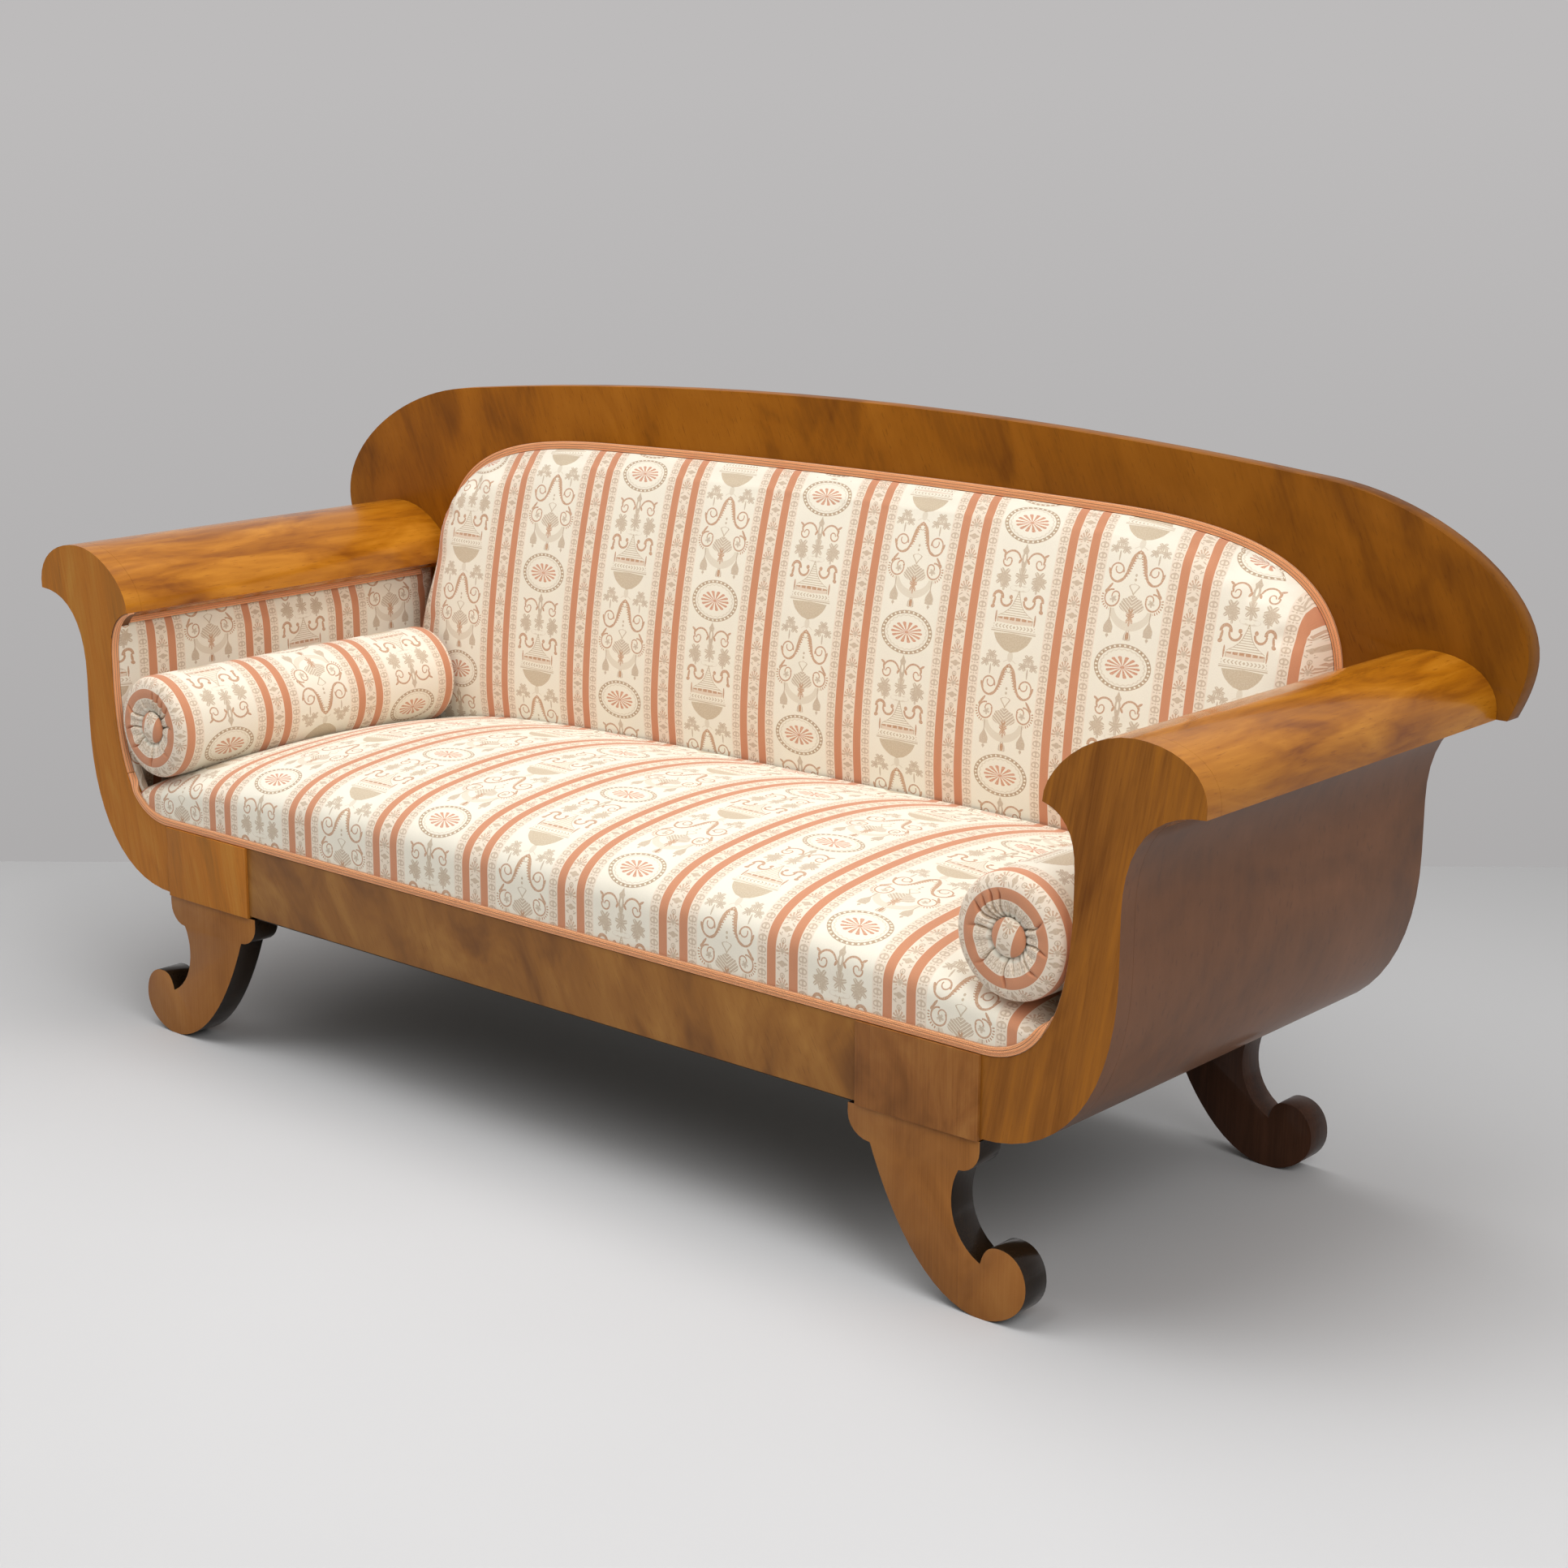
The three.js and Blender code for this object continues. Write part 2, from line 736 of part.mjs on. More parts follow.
// Scroll arms
function addArms() {
  const near = armPanelThickness + seam;
  const tenonBottom = railBottom + (railHeight - tenonHeight) / 2;
  const tenon = block(
    blockOuterX - tenonLength, blockOuterX + tenonLength,
    (railThickness - tenonThickness) / 2, (railThickness + tenonThickness) / 2,
    tenonBottom, tenonBottom + tenonHeight,
  );
  addPair('arm_front', joined(slab(armOutline, 0, armPanelThickness), tenon), looks.faceVeneer);

  const rollSection = clipped(armOutline, 'y', rollSeat, 1);
  addPair('arm_roll', slab(rollSection, near, boardFront - seam), looks.rollVeneer);

  const wrap = clipped(strip(armOuterSide, 0, sidePanelThickness), 'y', rollSeat - seam, -1);
  const panel = clipped(wrap, 'x', blockOuterX + seam, 1);
  addPair('arm_side', slab(panel, near, rearFace), looks.sideVeneer);

  const topRail = block(
    armRailX, armRailX + armTopRailThickness, near, boardFront - seam,
    rollSeat - seam - armTopRailHeight, rollSeat - seam,
  );
  addPair('arm_top_rail', topRail, looks.innerWood);
  const tackRail = block(
    armRailX, armRailX + tackRailThickness, near, boardFront - seam,
    tackRailBottom, tackRailBottom + tackRailHeight,
  );
  addPair('arm_tack_rail', tackRail, looks.innerWood);
}

// Back board: an arch whose ends curl round the rolls and whose stiles stand on the frame
function archRight() {
  const shoulderZ = backHeight - boardShoulderDrop;
  const shoulderSlope = 2 * boardShoulderDrop / boardShoulderX;
  const run = boardWidestX - boardShoulderX;
  const crown = new THREE.QuadraticBezierCurve(
    at(0, backHeight), at(boardShoulderX / 2, backHeight), at(boardShoulderX, shoulderZ),
  ).getPoints(8);
  const shoulder = bend(
    at(boardShoulderX, shoulderZ),
    at(boardShoulderX + run / 2, shoulderZ - shoulderSlope * run / 2),
    at(boardWidestX, boardWidestZ + boardShoulderRiseShare * (shoulderZ - boardWidestZ)),
    at(boardWidestX, boardWidestZ), 20,
  );
  const tipTop = rollOuterCorner + boardTipRound;
  const hook = bend(
    at(boardWidestX, boardWidestZ), at(boardWidestX, (boardWidestZ + tipTop) / 2),
    at(boardTipX + boardTipRound / 2, tipTop), at(boardTipX, rollOuterCorner), 10,
  );
  return chain(crown, shoulder, hook);
}

function mirroredRun(points) {
  return points.map((point) => at(-point.x, point.y));
}

function openingRight() {
  const top = backPadTop - boardOpeningMargin;
  const corner = boardOpeningSide - backPadShoulderX;
  const arch = bend(
    at(backPadShoulderX, top - backPadShoulderDrop),
    at(backPadShoulderX + openingCornerShare * corner, top - backPadShoulderDrop),
    at(boardOpeningSide, top - openingHandleShare * corner),
    at(boardOpeningSide, top - openingCornerShare * corner),
    8,
  );
  return chain([at(0, top)], arch, [at(boardOpeningSide, boardOpeningBottom)]);
}

function addBackBoard() {
  const half = chain(archRight(), [...armOuterSide].reverse());
  const outline = chain([...half], [...mirroredRun(half)].reverse());
  const standing = clipped(outline, 'y', railTop + seam, 1);
  const opening = openingRight();
  const hole = chain([...opening], [...mirroredRun(opening)].reverse());
  const arch = slab(standing, boardFront, rearFace, hole);
  const rebates = Object.values(sides).map((side) => {
    const run = strip(armOuterSide, -overrun, sidePanelThickness + seam);
    const section = clipped(run, 'y', rollSeat, -1).map((point) => at(side * point.x, point.y));
    return slab(section, boardFront - overrun, rearFace + overrun);
  });
  addPiece('back_board', carved(arch, ...rebates), looks.boardVeneer);

  const top = backPadTop - boardOpeningMargin - seam - backPadShoulderDrop;
  const upright = block(
    -uprightWidth / 2, uprightWidth / 2, rearFace - uprightThickness, rearFace,
    boardOpeningBottom + seam, top,
  );
  addPiece('back_upright', upright, looks.innerWood);
}

// Seat webbing with the springs sewn to it, the hessian over them and the cloth below
class SpringPath extends THREE.Curve {
  getPoint(share, target = new THREE.Vector3()) {
    const angle = share * springTurns * 2 * Math.PI;
    const waist = springWaist + (springRadius - springWaist) * Math.pow(2 * share - 1, 2);
    const low = strapTop + springSink;
    const high = hessianBottom - seam - springWire / 2;
    return target.set(waist * Math.cos(angle), waist * Math.sin(angle), low + (high - low) * share);
  }
}

function spring(x, y) {
  const wire = new THREE.Shape();
  wire.absarc(0, 0, springWire / 2, 0, 2 * Math.PI);
  const geometry = new THREE.ExtrudeGeometry(wire, {
    curveSegments: 2,
    steps: springTurnSteps * springTurns,
    extrudePath: new SpringPath(),
  });
  geometry.translate(x, y, 0);
  return geometry;
}

function springPlaces(count, pitch, middle) {
  return Array.from({ length: count }, (_, place) => middle + (place - (count - 1) / 2) * pitch);
}

function addSeatWebbing() {
  const xs = springPlaces(springColumns, springPitchX, 0);
  const ys = springPlaces(springRows, springPitchY, seatMiddleY);
  const half = strapWidth / 2;
  const reach = blockOuterX - strapLap;
  const straps = [
    ...xs.map((x) => block(x - half, x + half, strapInset, rearFace - strapInset, strapBottom, strapTop)),
    ...ys.map((y) => block(-reach, reach, y - half, y + half, strapBottom, strapTop)),
  ];
  const springs = xs.flatMap((x) => ys.map((y) => spring(x, y)));
  addPiece('seat_webbing', joined(...straps, ...springs), looks.webbing);

  const hessian = block(
    -reach, reach, strapInset, backPadRear,
    hessianBottom, hessianBottom + hessianThickness,
  );
  addPiece('seat_hessian', hessian, looks.webbing);

  const wide = blockOuterX - strapInset;
  const narrow = blockInnerX - legInnerEarOverhang - seam;
  const nearBlock = blockDepth - blockProud + seam;
  const farBlock = rearFace - blockDepth - seam;
  const cloth = joined(
    block(-wide, wide, nearBlock, farBlock, clothBottom, clothTop),
    block(-narrow, narrow, clothInset, rearFace - clothInset, clothBottom, clothTop),
  );
  addPiece('bottom_cloth', cloth, looks.lining);
}

// Seat pad: a steep front, a rounded shoulder and a crown that is highest in the middle
const seatRowShares = [0, 0.006, 0.018, 0.036, 0.06, 0.1, 0.17, 0.26, 0.36, 0.46, 0.58, 0.7, 0.82, 0.92, 1];
const seatColumnShares = [0, 0.13, 0.27, 0.4, 0.52, 0.63, 0.72, 0.8, 0.87, 0.93, 0.97, 1];
const seatShoulderWidthShare = 1.03;
const seatCrownWidthShare = 0.96;
const seatFrontShare = 0.5;

function seatTop(x, y) {
  const beyond = Math.min((y - seatFrontInset) / seatShoulderRound, 1);
  const roundness = seatFrontShare + (1 - seatFrontShare) * dome(1 - beyond, seatShoulderRoundness,
    1 / seatShoulderRoundness);
  const shoulderShare = x / (seatHalfWidth * seatShoulderWidthShare);
  const shoulderX = dome(shoulderShare, seatShoulderFullness, seatShoulderFade);
  const reach = y < seatCrownFront ? seatCrownFront : seatCrownBack;
  const crownX = dome(x / (seatHalfWidth * seatCrownWidthShare), seatCrownFullness, seatCrownFade);
  const crown = seatCrown * crownX * dome((y - seatCrownFront) / reach, 2, 1);
  return railTop + seatShoulder * shoulderX * roundness + crown;
}

function addSeatPad() {
  const mirroredShares = seatColumnShares.slice(1).map((share) => -share).reverse();
  const columns = [...mirroredShares, ...seatColumnShares].map((share) => share * seatHalfWidth);
  const rows = seatRowShares.map((share) => seatFrontInset + share * (seatBackEdge - seatFrontInset));
  const pad = gridPad(
    columns, rows,
    (x, y) => new THREE.Vector3(x, y, seatBottom),
    (x, y) => new THREE.Vector3(x, y, seatTop(x, y)),
  );
  const clearance = gimpThickness + 2 * seam;
  const corners = Object.values(sides).map((side) => {
    const edge = [at(blockOuterX - sweepWidth, railTop), ...[...innerSweep].reverse()];
    const lifted = moved(edge, clearance);
    const low = [at(rollOuterX, innerSweepTop), at(rollOuterX, railBottom), at(lifted[0].x, railBottom)];
    const section = [...lifted, ...low].map((point) => at(side * point.x, point.y));
    return slab(section, -overrun, armPanelThickness + seam);
  });
  addPiece('seat_pad', carved(pad, ...corners), looks.cover);
}

// Back pad: follows the arch, leans back towards the top and rolls over into the braid
function braidEdgeRight() {
  const shoulderZ = backPadTop - backPadShoulderDrop;
  const crown = new THREE.QuadraticBezierCurve(
    at(0, backPadTop), at(backPadShoulderX / 2, backPadTop), at(backPadShoulderX, shoulderZ),
  ).getPoints(5);
  const run = rollInnerX - backPadShoulderX;
  const corner = bend(
    at(backPadShoulderX, shoulderZ),
    at(backPadShoulderX + padShoulderRunShare * run, shoulderZ - backPadShoulderDrop),
    at(rollInnerX, backPadWaistZ + padShoulderRiseShare * (shoulderZ - backPadWaistZ)),
    at(rollInnerX, backPadWaistZ),
    14,
  );
  return chain(crown, corner);
}

function backPadOutline() {
  const upper = moved(braidEdgeRight(), -gimpWidth - seam);
  upper[0].x = 0;
  const waist = upper.at(-1);
  const hip = bend(
    waist,
    at(waist.x, rollSeat),
    at(backPadLowerHalfWidth, rollSeat),
    at(backPadLowerHalfWidth, backPadHipZ),
    6,
  );
  const foot = [
    at(backPadLowerHalfWidth, (backPadHipZ + backPadFoot) / 2),
    at(backPadLowerHalfWidth, backPadFoot),
  ];
  const half = chain(upper, hip, foot, [at(backPadLowerHalfWidth / 2, backPadFoot), at(0, backPadFoot)]);
  const other = mirroredRun(half).reverse();
  return chain(half, other);
}

function backPadDepth(z) {
  const lean = Math.min(Math.max((z - backPadLeanStart) / (backPadLeanEnd - backPadLeanStart), 0), 1);
  return backPadThickness - (backPadThickness - backPadTopThickness) * Math.pow(lean, backPadLeanPower);
}

// A closed outline drawn in by the same distance all round.
function drawnIn(points, distance) {
  return points.map((point, index) => {
    const before = points.at(index - 1);
    const after = points[(index + 1) % points.length];
    const along = after.clone().sub(before).normalize();
    return at(point.x + along.y * distance, point.y - along.x * distance);
  });
}

function addBackPad() {
  const outline = backPadOutline();
  const edgeShares = [0, 0.08, 0.28, 0.58, 1];
  const shrinkShares = [0.84, 0.6, 0.3];
  const middle = at(0, (backPadTop + backPadFoot) / 2);
  const ring = (points, depthAt) => points.map((point) => (
    new THREE.Vector3(point.x, backPadRear - depthAt(point), point.y)
  ));
  const rings = [ring(outline, () => 0)];
  for (const share of edgeShares) {
    const height = backPadRimShare + (1 - backPadRimShare) * Math.sqrt(1 - Math.pow(1 - share, 2));
    rings.push(ring(drawnIn(outline, share * backPadEdgeRound), (point) => height * backPadDepth(point.y)));
  }
  const inner = drawnIn(outline, backPadEdgeRound);
  for (const share of shrinkShares) {
    const drawn = inner.map((point) => middle.clone().lerp(point, share));
    rings.push(ring(drawn, (point) => backPadDepth(point.y)));
  }
  addPiece('back_pad', ringSolid(rings), looks.cover);
}

// Webbing and lining over the opening of the back board
function addBackWebbing() {
  const half = strapWidth / 2;
  const side = boardOpeningSide + strapInset;
  const top = backPadTop - boardOpeningMargin + strapLap;
  const bottom = boardOpeningBottom - strapLap;
  const near = backStrapFront;
  const far = boardFront - seam;
  const uprights = springPlaces(springColumns, springPitchX, 0).map((x) => (
    block(x - half, x + half, near, far, bottom, top - backPadShoulderDrop)
  ));
  const level = springPlaces(springRows, (top - bottom) / (springRows + 1), (top + bottom) / 2).map((z) => (
    block(-side, side, near, far, z - half, z + half)
  ));
  addPiece('back_webbing', joined(...uprights, ...level), looks.webbing);

  const opening = openingRight();
  const spread = chain([...opening], mirroredRun(opening).reverse());
  const cloth = slab(drawnIn(spread, -strapLap), rearFace + seam, liningRear);
  addPiece('back_lining', cloth, looks.lining);
}

// Arm pads and the webbing behind them
function addArmPads() {
  const near = armPanelThickness + seam;
  const far = backPadRear;
  const top = rollSeat - armPadTopGap;
  const shares = [0, 0.03, 0.1, 0.22, 0.4, 0.6, 0.78, 0.9, 0.97, 1];
  const rows = shares.map((share) => near + share * (far - near));
  const columns = shares.map((share) => armPadBottom + share * (top - armPadBottom));
  const faceAt = (z, y) => {
    const lengthShare = 2 * (y - near) / (far - near) - 1;
    const heightShare = 2 * (z - armPadBottom) / (top - armPadBottom) - 1;
    const along = dome(lengthShare, armPadLengthFullness, armPadFade);
    const up = dome(heightShare, armPadHeightFullness, armPadFade);
    return armPadBack - armPadRim - (armPadThickness - armPadRim) * along * up;
  };
  const pad = gridPad(
    columns, rows,
    (z, y) => new THREE.Vector3(armPadBack, y, z),
    (z, y) => new THREE.Vector3(faceAt(z, y), y, z),
  );
  addPair('arm_pad', pad, looks.cover);

  const half = strapWidth / 2;
  const webTop = rollSeat - armPadTopGap;
  const straps = springPlaces(springRows, springPitchY, armMiddleY).map((y) => (
    block(webX, webX + strapThickness, y - half, y + half, tackRailBottom, webTop)
  ));
  const level = block(
    webX, webX + strapThickness, near, boardFront - seam,
    (tackRailBottom + webTop) / 2 - half, (tackRailBottom + webTop) / 2 + half,
  );
  addPair('arm_webbing', joined(level, ...straps), looks.webbing);
}

// Braid along the rail, up the stems, under the rolls and round the back pad
function addBraid() {
  const rightRun = [...innerSweep].reverse().filter((point) => point.y < seatCornerZ());
  const railRun = chain(mirroredRun(rightRun).reverse(), rightRun);
  const railBraid = strip(railRun, seam, seam + gimpWidth);
  const braidBack = seatFrontInset - seam;
  addPiece('front_gimp', slab(railBraid, braidBack - gimpThickness, braidBack), looks.braid);

  const innerSide = chain([...innerSweep].reverse(), [...cove].reverse());
  const stemRun = innerSide.filter((point) => point.y > seatCornerZ() + gimpThickness);
  const stem = slab(strip(stemRun, seam, seam + gimpThickness), 0, gimpWidth);
  addPair('arm_gimp', stem, looks.braid);

  const rollGimp = block(
    armPadFace - seam - gimpThickness, armPadFace - seam,
    armPanelThickness + seam, backPadRear - backPadEdgeRound - seam,
    rollSeat - seam - gimpWidth, rollSeat - seam,
  );
  addPair('roll_gimp', rollGimp, looks.braid);

  const edge = braidEdgeRight();
  const whole = chain(mirroredRun(edge).reverse(), edge);
  const rear = boardFront - seam;
  const archBraid = slab(strip(whole, -gimpWidth, 0), rear - gimpThickness, rear);
  addPiece('back_gimp', archBraid, looks.braid);
}

function seatCornerZ() {
  return railTop + seatCornerShare * (innerSweepTop - railTop);
}

// Bolsters: rolls with gathered ends, lying on the seat against the arm pads
const bolsterX = armPadFace - seam - bolsterRadius;

function bolsterHeight() {
  const steps = 24;
  let height = 0;
  for (let i = -steps; i <= steps; i += 1) {
    const across = bolsterRadius * i / steps;
    const below = Math.sqrt(bolsterRadius * bolsterRadius - across * across);
    for (const share of seatRowShares) {
      const y = seatFrontInset + share * (seatBackEdge - seatFrontInset);
      height = Math.max(height, seatTop(bolsterX + across, y) + below);
    }
  }
  return height + seam;
}

function bolsterBody() {
  const edge = bolsterRadius - bolsterEdgeRound;
  const half = bolsterLength / 2;
  const profile = [
    at(0, bolsterDimple - half),
    at(buttonRadius, buttonSeatShare * bolsterDimple - half),
    at((buttonRadius + edge) / 2, pleatDipShare * bolsterDimple - half),
    at(edge, -half),
  ];
  for (const turn of [1, 2, 3]) {
    const angle = turn * Math.PI / 6;
    profile.push(at(
      edge + bolsterEdgeRound * Math.sin(angle),
      bolsterEdgeDepth * (1 - Math.cos(angle)) - half,
    ));
  }
  const rest = profile.map((point) => at(point.x, -point.y)).reverse();
  const geometry = new THREE.LatheGeometry([...profile, ...rest], 2 * pleatCount);
  const position = geometry.getAttribute('position');
  for (let i = 0; i < position.count; i += 1) {
    const radius = Math.hypot(position.getX(i), position.getZ(i));
    const angle = Math.atan2(position.getZ(i), position.getX(i));
    const spread = Math.sin(Math.PI * Math.min(radius / edge, 1));
    const fold = pleatDepth * spread * Math.cos(pleatCount * angle);
    position.setY(i, position.getY(i) - Math.sign(position.getY(i)) * fold);
  }
  return geometry;
}

function buttonBody() {
  const profile = [at(0, 0), at(buttonRadius, 0)];
  for (const turn of [1, 2, 3, 4]) {
    const angle = turn * Math.PI / 8;
    profile.push(at(buttonRadius * Math.cos(angle), buttonHeight * Math.sin(angle)));
  }
  return new THREE.LatheGeometry(profile, pleatCount);
}

function addBolsters() {
  const middleY = bolsterFront + bolsterLength / 2;
  const height = bolsterHeight();
  for (const [side, sign] of Object.entries(sides)) {
    const body = bolsterBody();
    body.translate(0, middleY, 0);
    body.translate(sign * bolsterX, 0, height);
    addPiece(`bolster_${side}`, body, looks.cover);
    for (const [end, direction] of Object.entries(ends)) {
      const button = buttonBody();
      if (direction < 0) button.rotateX(Math.PI);
      const seatY = direction * (bolsterLength / 2 - buttonSeatShare * bolsterDimple + seam + pleatDepth);
      button.translate(sign * bolsterX, middleY + seatY, height);
      addPiece(`bolster_button_${side}_${end}`, button, looks.cover);
    }
  }
}

addLongRails();
addCrossRails();
addSideRails();
addLegBlocks();
addLegs();
addArms();
addBackBoard();
addSeatWebbing();
addSeatPad();
addBackWebbing();
addBackPad();
addArmPads();
addBraid();
addBolsters();

export default settee;
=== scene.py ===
from functools import partial, reduce
from math import cos, pi, radians, sin

import bmesh
import bpy
import numpy as np
from bpy.props import FloatProperty, FloatVectorProperty, PointerProperty
from mathutils import Matrix, Vector


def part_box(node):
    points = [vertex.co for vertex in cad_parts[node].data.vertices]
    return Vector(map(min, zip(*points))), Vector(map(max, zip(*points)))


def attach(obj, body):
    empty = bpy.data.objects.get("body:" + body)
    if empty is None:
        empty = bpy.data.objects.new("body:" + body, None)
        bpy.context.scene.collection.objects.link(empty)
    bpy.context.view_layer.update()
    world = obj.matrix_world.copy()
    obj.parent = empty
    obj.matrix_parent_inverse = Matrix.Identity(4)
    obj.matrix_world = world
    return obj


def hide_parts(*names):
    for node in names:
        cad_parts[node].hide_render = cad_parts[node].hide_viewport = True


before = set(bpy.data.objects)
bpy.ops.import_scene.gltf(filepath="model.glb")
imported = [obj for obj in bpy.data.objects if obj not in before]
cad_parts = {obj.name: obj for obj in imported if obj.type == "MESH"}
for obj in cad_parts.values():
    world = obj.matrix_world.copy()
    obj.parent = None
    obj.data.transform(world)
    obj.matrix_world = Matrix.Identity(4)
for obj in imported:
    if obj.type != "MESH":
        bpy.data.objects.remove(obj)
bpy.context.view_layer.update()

bl_info = {
    "name": "Scroll-arm settee",
    "version": (1, 0),
    "blender": (4, 5, 0),
    "location": "3D View > Sidebar > Settee",
    "description": "Veneer, covers, braid, bolsters, floor, lamps and camera for a scroll-arm settee",
    "category": "Object",
}

mm = 0.001


def linear(code):
    """Linear colour of an sRGB hex code."""
    parts = [int(code[i:i + 2], 16) / 255 for i in (1, 3, 5)]
    return tuple(((c + 0.055) / 1.055) ** 2.4 if c > 0.04045 else c / 12.92 for c in parts)


# ---------------------------------------------------------------- sizes and colours


class SetteeCover(bpy.types.PropertyGroup):
    repeat: FloatProperty(name="Stripe repeat", description="From one column of motifs to the next",
                          default=0.1735, unit="LENGTH")
    cream: FloatVectorProperty(name="Cream ground", description="Ground of the woven cover",
                               default=linear("#F4EDDC"), subtype="COLOR")
    coral: FloatVectorProperty(name="Coral stripe", description="Broad stripes and bolster rings",
                               default=linear("#D08E68"), subtype="COLOR")
    taupe: FloatVectorProperty(name="Taupe motif", description="Beads, leaves and lace",
                               default=linear("#B08F68"), subtype="COLOR")
    grey: FloatVectorProperty(name="Grey motif", description="Bowls, swags and shaded parts",
                              default=linear("#BFA682"), subtype="COLOR")
    rose: FloatVectorProperty(name="Rose motif", description="Scrolls, fans and flowers",
                              default=linear("#BA8150"), subtype="COLOR")
    swell: FloatProperty(name="Swell", description="How far the stuffing may lift a cover",
                         default=0.005, unit="LENGTH")


class SetteeWood(bpy.types.PropertyGroup):
    face: FloatVectorProperty(name="Face veneer", description="Arm fronts and leg blocks",
                              default=linear("#90591E"), subtype="COLOR")
    roll: FloatVectorProperty(name="Roll veneer", description="Tops of the rolls",
                              default=linear("#A5640F"), subtype="COLOR")
    board: FloatVectorProperty(name="Back veneer", description="Arched back board",
                               default=linear("#8A520F"), subtype="COLOR")
    side: FloatVectorProperty(name="Side veneer", description="Bent panels under the rolls",
                              default=linear("#6B4120"), subtype="COLOR")
    edge: FloatProperty(name="Eased edge", description="Rounding of every free-standing veneered edge",
                        default=0.0003, unit="LENGTH")


class SetteeBraid(bpy.types.PropertyGroup):
    width: FloatProperty(name="Width", description="Width of the braid", default=0.0115, unit="LENGTH")
    colour: FloatVectorProperty(name="Colour", description="Colour of the braid",
                                default=linear("#FFB277"), subtype="COLOR")


class SetteeStage(bpy.types.PropertyGroup):
    floor: FloatVectorProperty(name="Floor", description="Pale studio floor",
                               default=linear("#C9C9CA"), subtype="COLOR")
    wall: FloatVectorProperty(name="Backdrop", description="Plain room round the floor",
                              default=linear("#BDBBBB"), subtype="COLOR")
    lamp: FloatProperty(name="Lamp power", description="Watts that the three lamps take their shares of",
                        default=90.0, min=0)


# ---------------------------------------------------------------- shared helpers


def add(tree, kind, links=(), out=0, stops=None, curve=None, **settings):
    """Adds a shader node with its settings, fills its inputs with numbers or sockets, gives one output.
    A kind such as Math/SINE names the node's operation too."""
    kind, _, operation = kind.partition("/")
    node = tree.nodes.new("ShaderNode" + kind)
    if operation:
        node.operation = operation
    for key, value in settings.items():
        setattr(node, key, value)
    for key, value in links.items() if isinstance(links, dict) else enumerate(links):
        if isinstance(value, bpy.types.NodeSocket):
            tree.links.new(value, node.inputs[key])
        else:
            node.inputs[key].default_value = value
    if stops:
        ramp = node.color_ramp.elements
        while len(ramp) < len(stops):
            ramp.new(0.5)
        for stop, (place, colour) in zip(ramp, stops):
            stop.position, stop.color = place, (*colour, 1)
    if curve:
        points = node.mapping.curves[0].points
        for place, height in curve[1:-1]:
            points.new(place, height)
        points[0].location, points[-1].location = curve[0], curve[-1]
        for point in points:
            point.handle_type = "VECTOR"
        node.mapping.update()
    return node.outputs[out]


def finish(name, settings):
    """New material whose surface is a Principled shader; gives the material, its tree and the shader."""
    material = bpy.data.materials.new(name)
    material.use_nodes = True
    tree = material.node_tree
    shader = tree.nodes["Principled BSDF"]
    for key, value in settings.items():
        shader.inputs[key].default_value = value
    return material, tree, shader


def wear(tree, shader, colour, height, distance):
    """Links the colour and the relief of a surface."""
    bump = add(tree, "Bump", {"Height": height, "Strength": 1.0, "Distance": distance})
    tree.links.new(colour, shader.inputs["Base Color"])
    tree.links.new(bump, shader.inputs["Normal"])


def dress(finishes):
    """Gives the CAD nodes their finish, and lists them; a name that ends in an underscore stands for
    left and right."""
    dressed = []
    for name, material in finishes.items():
        for end in ("left", "right") if name.endswith("_") else ("",):
            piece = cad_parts[name + end]
            piece.data.materials.clear()
            piece.data.materials.append(material)
            dressed.append((name, piece, material))
    return dressed


def bezier(p0, p1, p2, p3, steps):
    """Points along a cubic curve, both ends included."""
    t = np.linspace(0, 1, steps + 1)[:, None]
    p0, p1, p2, p3 = (np.array(p, float) for p in (p0, p1, p2, p3))
    return (1 - t) ** 3 * p0 + 3 * (1 - t) ** 2 * t * p1 + 3 * (1 - t) * t ** 2 * p2 + t ** 3 * p3


def run_of(*parts):
    """Joins runs of points end to end without repeats."""
    points = np.concatenate(parts)
    keep = np.r_[True, np.hypot(*np.diff(points, axis=0).T) > 1e-4]
    return points[keep]


def lengths_of(points):
    """Length of a flat run up to each of its points."""
    return np.r_[0, np.cumsum(np.hypot(*np.diff(points, axis=0).T))]


def along(points, shares):
    """Places at shares of a run's length."""
    steps = lengths_of(points)
    where = np.asarray(shares) * steps[-1]
    return np.stack([np.interp(where, steps, points[:, i]) for i in (0, 1)], axis=-1)


def upright(points, y):
    """Points or directions of the front view in space, at one depth."""
    return np.stack([points[:, 0], np.full(len(points), y), points[:, 1]], axis=1)


def sheet(columns, rows, place):
    """Grid whose points go where place puts them; place takes shares across and up in 0..1 and
    gives points in metres and the pattern's place in metres."""
    bm = bmesh.new()
    bmesh.ops.create_grid(bm, x_segments=columns, y_segments=rows, size=0.5)
    shares = np.array([v.co[:2] for v in bm.verts]) + 0.5
    points, pattern = place(shares[:, 0], shares[:, 1])
    layer = bm.loops.layers.uv.new("pattern")
    for vert, point in zip(bm.verts, points):
        vert.co = point
    for face in bm.faces:
        for loop in face.loops:
            loop[layer].uv = pattern[loop.vert.index]
    return bm


